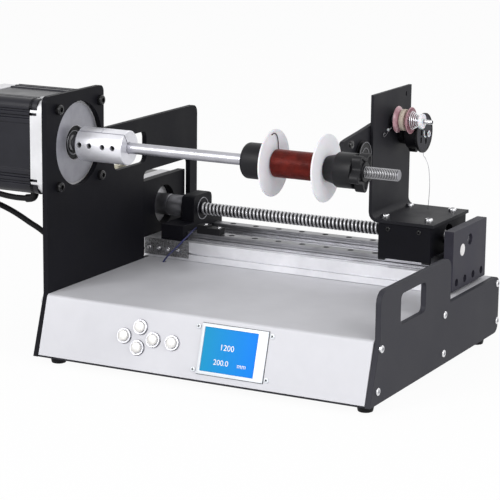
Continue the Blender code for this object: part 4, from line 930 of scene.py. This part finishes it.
fit(turned("bobbin_turned", flange(start, start + thick) + [
    (start + thick, barrel + 0.6), (start + thick + 0.6, barrel),
    (end - thick - 0.6, barrel), (end - thick, barrel + 0.6)] + flange(end - thick, end) + [
    (end, rodBore), (start, rodBore)], spindleLine, 112), "spindle", "whitePlastic", "bobbin")

windingLook = {"start": 198.3, "end": 246, "radius": 12.25, "wire": 0.4, "points": 24,
               # the hooked lead: degrees round the axis, distance from it
               "lead": ((105, 26.5), (95.6, 26.6), (84.6, 23.3), (75, 17.5), (67, 13.2),
                        (50, 11.85)), "leadIn": 0.7, "leadWire": 0.42, "first": 1.4, "last": 1.2,
               "gap": 0.02, "tailSteps": 9, "tailRise": 3, "tailDrift": 0.02}
look = windingLook
start, end, points = look["start"], look["end"], look["points"]


def wound(x, radius, angle):
    return (x, radius * math.cos(angle), radius * math.sin(angle))


layRadius = look["radius"] - look["wire"]
firstX = start + look["first"]
leadX = start + look["leadIn"]
lead = [wound(start - 0.1, look["lead"][0][1], math.radians(look["lead"][0][0]))]
lead += [wound(leadX, r, math.radians(a)) for a, r in look["lead"]]
fit(meshOf(wire("winding_lead", smoothPath(lead, 5), look["leadWire"], 2)),
    "spindle", "darkEnamel")
wirePitch = 2 * look["wire"] + look["gap"]
loops = int((end - look["last"] - firstX) / wirePitch)
turnStep = 2 * math.pi / points
leadEnd = math.radians(look["lead"][-1][0])
helix = [wound(firstX + wirePitch * i / points, layRadius, leadEnd - turnStep * i)
         for i in range(loops * points + 1)]
lastAngle = leadEnd - turnStep * loops * points
tail = [wound(firstX + wirePitch * (loops + k / points) + look["tailDrift"] * k,
              layRadius + look["tailRise"] * (k / look["tailSteps"]) ** 2,
              lastAngle - turnStep * k) for k in range(1, look["tailSteps"] + 1)]
tail.append((end + 0.2, tail[-1][1], tail[-1][2]))
fit(meshOf(wire("winding_wire", [wound(leadX, layRadius, leadEnd)] + helix + tail,
                look["wire"], 2)), "spindle", "enamel", "wound_wire")
fit(turned("winding_core", [(start + 0.9, 10.5), (start + 0.9, 11.8),
                            (end - 0.9, 11.8), (end - 0.9, 10.5)],
           spindleLine, 64), "spindle", "enamel")

coneLook = {"start": 248.2, "end": 275.5, "tip": 11, "stepEnd": 256.4, "step": 12.7,
            "bodyStart": 259.9, "body": 15.2}
look = coneLook
start, end = look["start"], look["end"]
fit(turned("clamping_cone_turned", [
    (start, rodBore), (start, 9.6), (start + 0.4, 10.5), (start + 1.4, look["tip"]),
    (look["stepEnd"], look["step"]), (look["bodyStart"] - 0.5, look["body"] - 0.25),
    (look["bodyStart"], look["body"]), (end - 0.5, look["body"]), (end, look["body"] - 0.5),
    (end, rodBore)], spindleLine, 96), "cone", "blackPlastic", "clamping_cone")

knobLook = {"start": 275.8, "end": 284.3, "middle": 14.8, "lobe": 2.8, "lobes": 5,
            "points": 100, "rim": 2.6, "slope": 0.5, "sunk": 1.2}
look = knobLook
rim = []
for i in range(look["points"]):
    a = 2 * math.pi * i / look["points"]
    r = look["middle"] + look["lobe"] * math.cos(look["lobes"] * (a + math.pi / 2))
    rim.append((look["start"], r * math.cos(a), r * math.sin(a)))
knob = drawn("star_knob_turned", rim, (look["end"] - look["start"], 0, 0))
openMesh(knob)
selectFaces(knob, lambda face: face.normal.x > 0.9)
bpy.ops.mesh.inset(thickness=look["rim"] * mm)
bpy.ops.mesh.inset(thickness=look["slope"] * mm, depth=-look["sunk"] * mm)
closeMesh()
bevelEdges(knob, 0.7, 3, 40)
cutWith(knob, peg("knob_bore", rodBore, look["start"] - 5, 20, spindleLine, 48))
smoothByAngle(knob, 40)
evenNormals(knob)
fit(knob, "knob", "blackPlastic", "star_knob")
fit(turned("knob_hub", [(283, 5.4), (283, 8.6), (284.1, 8.6), (284.5, 8.2), (284.5, 5.4)],
           spindleLine, 64), "knob", "blackPlastic")

# linear module

print("linear module")
dressNode("module_extrusion", "drawnAluminium", 0.2, 1)
railLook = {"front_rail": 138, "back_rail": 188, "start": 38, "end": 306.7,
            "low": -110.2, "high": -102.2, "firstHole": 58, "holeStep": 25, "holes": 10,
            "hole": 3, "plug": 2.7, "holeDeep": 3.2, "plugHigh": 1.6}
look = railLook
start = look["start"]
# one side of a rail's section: half width and height over its foot
railSide = ((6, 0), (6, 2.4), (4.9, 3.2), (4.9, 4.8), (6, 5.6), (6, 7.5), (5.5, 8))
for node in ("front_rail", "back_rail"):
    y = look[node]
    section = [(start, y - half, look["low"] + up) for half, up in railSide]
    section += [(start, y + half, look["low"] + up) for half, up in reversed(railSide)]
    rail = drawn(node + "_ground", section, (look["end"] - start, 0, 0))
    holePlaces = [look["firstHole"] + look["holeStep"] * i for i in range(look["holes"])]
    bottom = look["high"] - look["holeDeep"]
    holes = [peg("rail_hole", look["hole"], bottom, 5, (x, y), 24, "Z") for x in holePlaces]
    cutWith(rail, joinPieces(holes, "rail_holes"))
    smoothByAngle(rail, 30)
    fit(rail, "frame", "railSteel", node)
    plugs = [peg("rail_screw", look["plug"], bottom - 0.1, look["plugHigh"], (x, y), 20, "Z")
             for x in holePlaces]
    fit(joinPieces(plugs, node + "_screws"), "frame", "blackSteel")

dressNode("traverse_motor_plate", "powderBlack", 0.4)
dressNode("bearing_block", "powderBlack", 0.4)
# painted light: the end block is painted lighter than the bearing block's black, for the fill
# lamp's light on it
dressNode("end_block", "litSlate", 0.4)
dressNode("traverse_motor", "blackPaint", 0.8, 3)
traverseLook = {"half": 28.3, "front": (-27, -13.5), "rear": (-69.7, -60)}
half = traverseLook["half"]
for name in ("front", "rear"):
    x0, x1 = traverseLook[name]
    y, z = screwLine
    fit(block("traverse_motor_" + name, (x0, y - half, z - half), (x1, y + half, z + half),
              1.5, 3), "frame", "castAluminium")
fit(block("traverse_motor_socket", (-69, 170, -56.3), (-62.5, 186, -53.2), 0.4),
    "frame", "ivoryPlastic")
ribs = [block("socket_rib", (-69.4, y, -56.3), (-62.1, y + 0.8, -53), 0.1)
        for y in (172, 175.2, 178.4, 181.6)]
fit(joinPieces(ribs, "traverse_motor_socket_ribs"), "frame", "ivoryPlastic")
dressNode("limit_sensor", "blackPlastic", 0.2, 1)
for i, (x, y, z) in enumerate(((57, 134.5, -93.8), (71.3, 134.5, -95.7))):
    putScrew("small", "sensor_screw_%d" % i, (x, y, z), "+Z", "frame", 15 * i)
fit(block("module_side_plate", (-3.8, 121.5, -126), (44.5, 122.7, -110), 0.3),
    "frame", "milledSteel")
for i, x in enumerate((1.9, 12.5, 23, 33.5)):
    fit(turned("side_plate_socket_%d" % i, [
        (121.1, 2.3), (121, 2.5), (121, 3.4), (121.6, 3.6), (121.6, 2.3)],
        (x, -119), 32, True, "Y"), "frame", "greySteel")
    putScrew("small", "side_plate_screw_%d" % i, (x, 121.4, -119), "-Y", "frame", 25 * i)
fit(peg("blank_sticker", 5.5, 315.95, 0.2, (145, -91), 40), "frame", "paleMark")

fit(turned("screw_bearing", [
    (37, 11), (37.9, 11), (38.1, 10.8), (38.1, 10.2), (37.5, 9.9), (37.5, 6.2),
    (37, 6.2)], screwLine, 72), "frame", "greySteel")
# painted shade: the traverse coupling is satin aluminium, given the darker grey steel finish for
# the shade it sits in
fit(turned("screw_coupling", [
    (-13, 10), (-12.5, 10.5), (1.5, 10.5), (1.9, 9.8), (3.1, 9.8), (3.5, 10.5),
    (18.7, 10.5), (19.2, 10), (19.2, 4.2), (-13, 4.2)], screwLine, 72),
    "traverse_drive", "greySteel", "traverse_coupling")
fit(turned("screw_journal", [(6.4, 3.7), (6.7, 4), (38.6, 4), (38.6, 5.2),
                             (39.6, 5.2)], screwLine, 40, False), "traverse_drive", "groundSteel")
fit(turned("screw_end", [(306.2, 4.9), (313.2, 4.9), (313.6, 4.5)], screwLine, 40, False),
    "traverse_drive", "groundSteel")
fit(screwThread("ball_screw_thread", {
    "start": 38.9, "end": 306.4, "pitch": 4,
    "chain": [(0, 6), (0.22, 6), (0.27, 5.85), (0.34, 5.35), (0.44, 5.02), (0.56, 4.98),
              (0.66, 5.02), (0.76, 5.35), (0.83, 5.85), (0.88, 6), (1, 6)]}, screwLine),
    "traverse_drive", "ballScrewSteel", "ball_screw")

# carriage, bracket, arm and guide pulley

print("carriage")
dressNode("carriage", "powderBlack", 0.4)
dressNode("ball_nut", "groundSteel", 0)
dressNode("front_guide_block", "groundSteel")
dressNode("back_guide_block", "groundSteel")
dressNode("wire_bracket", "satinBlack")
dressNode("guide_arm", "satinBlack")
for i, x in enumerate((252.5, 283)):
    putScrew("set", "carriage_screw_%d" % i, (x, 123.6, -74.5), "-Y", "wire_carriage", 30 * i)
skirtLook = {"tabs": ((243.2, 249.5), (286, 294.3)), "low": -103.6, "high": -101.5}
for i, (x0, x1) in enumerate(skirtLook["tabs"]):
    fit(block("skirt_tab_%d" % i, (x0, 121.2, skirtLook["low"]), (x1, 123.6, skirtLook["high"]),
              0.2), "wire_carriage", "blackPlastic")
fit(block("skirt_strip", (250.2, 124.2, -103.3), (285.4, 125, -101), 0.2),
    "wire_carriage", "drawnAluminium")
pulleyLine = (102, -6)
fit(turned("guide_pulley_turned", [
    (233.2, 2.3), (233.2, 12.9), (233.4, 13.5), (233.9, 13.5), (234.1, 13), (235, 10.4),
    (235.6, 10.4), (236.5, 13), (236.7, 13.5), (237, 13.5), (237.2, 12.9), (237.2, 12.1),
    (236.8, 11.8), (236.8, 8.2), (237.1, 7.8), (237.1, 6.9), (236.8, 6.5), (236.8, 4.2),
    (237.2, 3.9), (237.2, 2.3)], pulleyLine, 72), "pulley", "blackPlastic", "guide_pulley")
# painted highlights: grey steel rings on the black pulley's face, at its rim and web edges, stand
# for the light those edges catch
for name, r in (("rim", 12.6), ("web", 7.4)):
    fit(turned("pulley_highlight_ring_" + name, [(236.9, r - 0.35), (237.25, r - 0.25), (237.25, r + 0.25),
                                       (236.9, r + 0.35)], pulleyLine, 72), "pulley", "greySteel")
rollerLine = (66, 10)
fit(turned("nose_roller", [
    (238.6, 1.2), (238.6, 3), (238.8, 3.4), (239.1, 3.4), (239.5, 2.6), (240.1, 2.6),
    (240.5, 3.4), (240.8, 3.4), (241, 3), (241, 1.2)], rollerLine, 48),
    "wire_carriage", "blackSteel")
fit(turned("nose_pin", [(238.5, 1.15), (241.3, 1.15), (241.6, 0.8)], rollerLine, 24, False),
    "wire_carriage", "blackSteel")

# wire tensioner and dial

print("tensioner")
fit(turned("stud_shank", [(236.3, 3.6), (236.6, 4), (240.4, 4), (240.8, 3.6),
                          (240.8, 1.9), (268, 1.9)], studLine, 40, False),
    "wire_carriage", "groundSteel", "tension_stud")
fit(screwThread("stud_thread", {
    "start": 258, "end": 275.5, "pitch": 0.7,
    "chain": [(0, 1.62), (0.1, 1.62), (0.45, 2), (0.6, 2), (0.95, 1.62), (1, 1.62)]},
    studLine, 24), "wire_carriage", "brightSteel")


discLook = {"thick": 4.2, "radius": 12.35, "flat": 7.6, "hollow": 3.1, "rim": 0.9}


def disc(name, start, dish, node):
    # a plate whose rim flares to one side: dish 1 to the nut, -1 to the arm
    thick, radius, flat, hollow, rim = discLook.values()
    shape = [(0, studBore), (0, flat), (0.25, flat + 0.8), (hollow, radius - 0.5),
             (hollow + 0.4, radius - 0.1), (hollow + 0.7, radius), (thick - 0.2, radius - 0.1),
             (thick, radius - 0.5), (thick - 0.15, radius - rim), (thick - 0.7, radius - 1.3),
             (1.5, flat + 0.6), (1.2, flat - 0.4), (1.2, 5.4), (1.6, 5), (1.6, studBore)]
    outline = [(start + a if dish > 0 else start + thick - a, r) for a, r in shape]
    fit(turned(name, outline, studLine, 72), "wire_carriage", "pinkCeramic", node)


disc("disc_back", 241.1, -1, "tension_disc_back")
fit(turned("felt_washer", [
    (245.5, studBore), (245.5, 8.9), (245.9, 9.6), (246.6, 9.9), (249.4, 9.9), (250.2, 9.6),
    (250.6, 8.9), (250.6, studBore)], studLine, 72),
    "wire_carriage", "creamFelt", "tension_washer")
disc("disc_front", 250.8, 1, "tension_disc_front")
springLook = {"start": 255, "length": 8.4, "from": 8.4, "to": 4.3, "wire": 0.42, "curls": 5,
              "points": 28}
look = springLook
total = look["curls"] * look["points"]
springPath = []
for i in range(total + 1):
    done, angle = i / total, 2 * math.pi * i / look["points"]
    radius = look["from"] + (look["to"] - look["from"]) * done
    springPath.append((look["start"] + look["wire"] + (look["length"] - 2 * look["wire"]) * done,
                       studLine[0] + radius * math.cos(angle),
                       studLine[1] + radius * math.sin(angle)))
fit(meshOf(wire("conical_spring", springPath, look["wire"], 3)),
    "wire_carriage", "brightSteel", "tension_spring")
fit(turned("spring_nut_turned", [
    (263.6, studBore), (263.6, 6.4), (264, 6.9), (264.4, 7), (266.2, 7), (266.7, 6.7),
    (267, 6.1), (267, studBore)], studLine, 24), "spring_nut", "whitePlastic", "tension_nut")

dialLook = {"line": (187, 5), "bodyStart": 236.3, "bodyEnd": 255.3,
            # pockets in the face: middle across and up, width, height
            "pockets": ((179.4, 6.1, 4, 5), (179, -0.8, 3.4, 5), (190.4, -3, 3.4, 5),
                        (191.6, 3.8, 3, 3.4)),
            "face": 258, "ring": (196.6, 2.8), "lug": (187, -9.4)}
look = dialLook
fit(turned("dial_drum", [
    (look["bodyStart"], 11), (look["bodyStart"] + 0.6, 11.8), (241, 11.8), (241.4, 10.9),
    (243.4, 10.9), (243.8, 15), (244.3, 15.5), (look["bodyEnd"] - 0.4, 15.5),
    (look["bodyEnd"], 15.1)], look["line"], 72, False), "wire_carriage", "blackPlastic",
    "dial_body")
dial = turned("dial_face", [
    (255.6, 17.6), (256, 18.2), (256.4, 18.5), (258, 18.5), (258.4, 18.2), (258.4, 17.1),
    (258, 16.8)], look["line"], 96, False)


def cutPockets(piece):
    for y, z, wide, high in dialLook["pockets"]:
        cutWith(piece, block("pocket", (dialLook["face"] - 0.7, y - wide / 2, z - high / 2),
                             (dialLook["face"] + 2, y + wide / 2, z + high / 2), 0))
    return piece


smoothByAngle(cutPockets(dial), 30)
fit(dial, "dial", "blackPlastic", "tension_dial")
plate = turned("dial_plate", [(257.9, 16.6), (258.1, 16.5)], look["line"], 96, False)
fit(cutPockets(plate), "dial", "litCharcoal")
fit(turned("dial_washer", [(258, 1.7), (258, 3.1), (258.6, 3.1), (258.8, 2.9),
                           (258.8, 1.9), (258.6, 1.7)], look["ring"], 40), "dial", "whitePlastic")
fit(meshOf(wire("dial_pointer", smoothPath([
    (258.5, 184.4, 7.6), (258.5, 184.7, 4.4), (258.5, 185.6, 2.2), (258.5, 188.4, 1)], 5),
    0.55, 2)), "dial", "whitePlastic")
fit(turned("dial_lug", [(243.9, 3.8), (244.3, 4.3), (250.6, 4.3), (251, 3.9)],
           look["lug"], 40, False), "wire_carriage", "blackPlastic")

# a glazed eyelet and a bare wire lead the wire off the discs
fit(turned("wire_eyelet", [(236.4, 0.6), (236.4, 1.2), (236.8, 1.4), (237.6, 1.4),
                           (238, 1.2), (238, 0.6)], (150.8, 11), 32),
    "wire_carriage", "whitePlastic")
fit(meshOf(wire("wire_hook", smoothPath([
    (241, 157.5, 17), (239.6, 154, 13.6), (238.3, 150.8, 11), (238.2, 146.5, 8.6),
    (238.2, 142, 6.6), (238.2, 139.2, 6.6), (238.2, 138.6, 8.6), (238.2, 140.4, 9.8),
    (238.2, 142.2, 8.8)], 5), 0.28, 2)), "wire_carriage", "greySteel")

# electronics, inlet and switch at the back

print("back")
dressNode("power_supply", "supplyCase", 0)
dressNode("control_board", "circuitBoard", 0)
dressNode("power_inlet", "blackPlastic")
dressNode("power_rocker", "blackPlastic", 0.4)
dressNode("cable_gland", "blackPlastic", 0.6)

for sample in list(screwSamples.values()) + [ringSample, capSample]:
    bpy.data.objects.remove(sample)

# floor, backdrop and lights

print("stage")


def seenRays(tree):
    # 1 for what the camera sees directly, in a reflection or through glass
    ray = addNode(tree, "LightPath")
    both = addNode(tree, "Math")
    both.operation = "ADD"
    every = addNode(tree, "Math")
    every.operation = "ADD"
    every.use_clamp = True
    link(ray, "Is Camera Ray", both, 0)
    link(ray, "Is Glossy Ray", both, 1)
    link(both, "Value", every, 0)
    link(ray, "Is Transmission Ray", every, 1)
    return every


stageLook = {"size": 12, "drop": 0.2, "seen": 0.95, "sky": 0.42, "aim": (0, 0, 0.1)}


def stageFinish():
    mat, tree, shader = newMaterial("paleFloor")
    setSockets(shader, {"Base Color": (0.88, 0.88, 0.89, 1), "Roughness": 0.8,
                        "Specular IOR Level": 0.1})
    glow = addNode(tree, "Emission", {"Color": (1, 1, 1, 1), "Strength": 1})
    seen = addNode(tree, "Math")
    seen.operation = "MULTIPLY"
    seen.inputs[1].default_value = stageLook["seen"]
    blend = addNode(tree, "MixShader")
    link(seenRays(tree), "Value", seen, 0)
    link(seen, "Value", blend, "Fac")
    link(shader, "BSDF", blend, 1)
    link(glow, "Emission", blend, 2)
    link(blend, "Shader", tree.nodes["Material Output"], "Surface")
    return mat


bpy.ops.mesh.primitive_plane_add(size=stageLook["size"],
                                 location=(0, 0, -stageLook["drop"] * mm))
floor = bpy.context.object
floor.name = "floor"
floor.data.materials.append(stageFinish())

world = bpy.data.worlds.new("studio")
scene.world = world
world.use_nodes = True
tree = world.node_tree
sky = tree.nodes["Background"]
setSockets(sky, {"Color": (1, 1, 1, 1), "Strength": stageLook["sky"]})
white = addNode(tree, "Background", {"Color": (1, 1, 1, 1), "Strength": 1})
pick = addNode(tree, "MixShader")
link(seenRays(tree), "Value", pick, "Fac")
link(sky, "Background", pick, 1)
link(white, "Background", pick, 2)
link(pick, "Shader", tree.nodes["World Output"], "Surface")

lampLooks = {
    "key": {"from": (-0.6, -1.9, 1.15), "size": 1, "power": 30},
    "fill": {"from": (1.7, -0.7, 0.9), "size": 1.2, "power": 17},
    "back": {"from": (0.4, 1.6, 1.5), "size": 1.2, "power": 5},
}
for name, look in lampLooks.items():
    bpy.ops.object.light_add(type="AREA", location=look["from"])
    lamp = bpy.context.object
    lamp.name = name
    lamp.data.size = look["size"]
    lamp.data.energy = look["power"]
    aim = Vector(stageLook["aim"]) - Vector(look["from"])
    lamp.rotation_euler = aim.to_track_quat("-Z", "Y").to_euler()
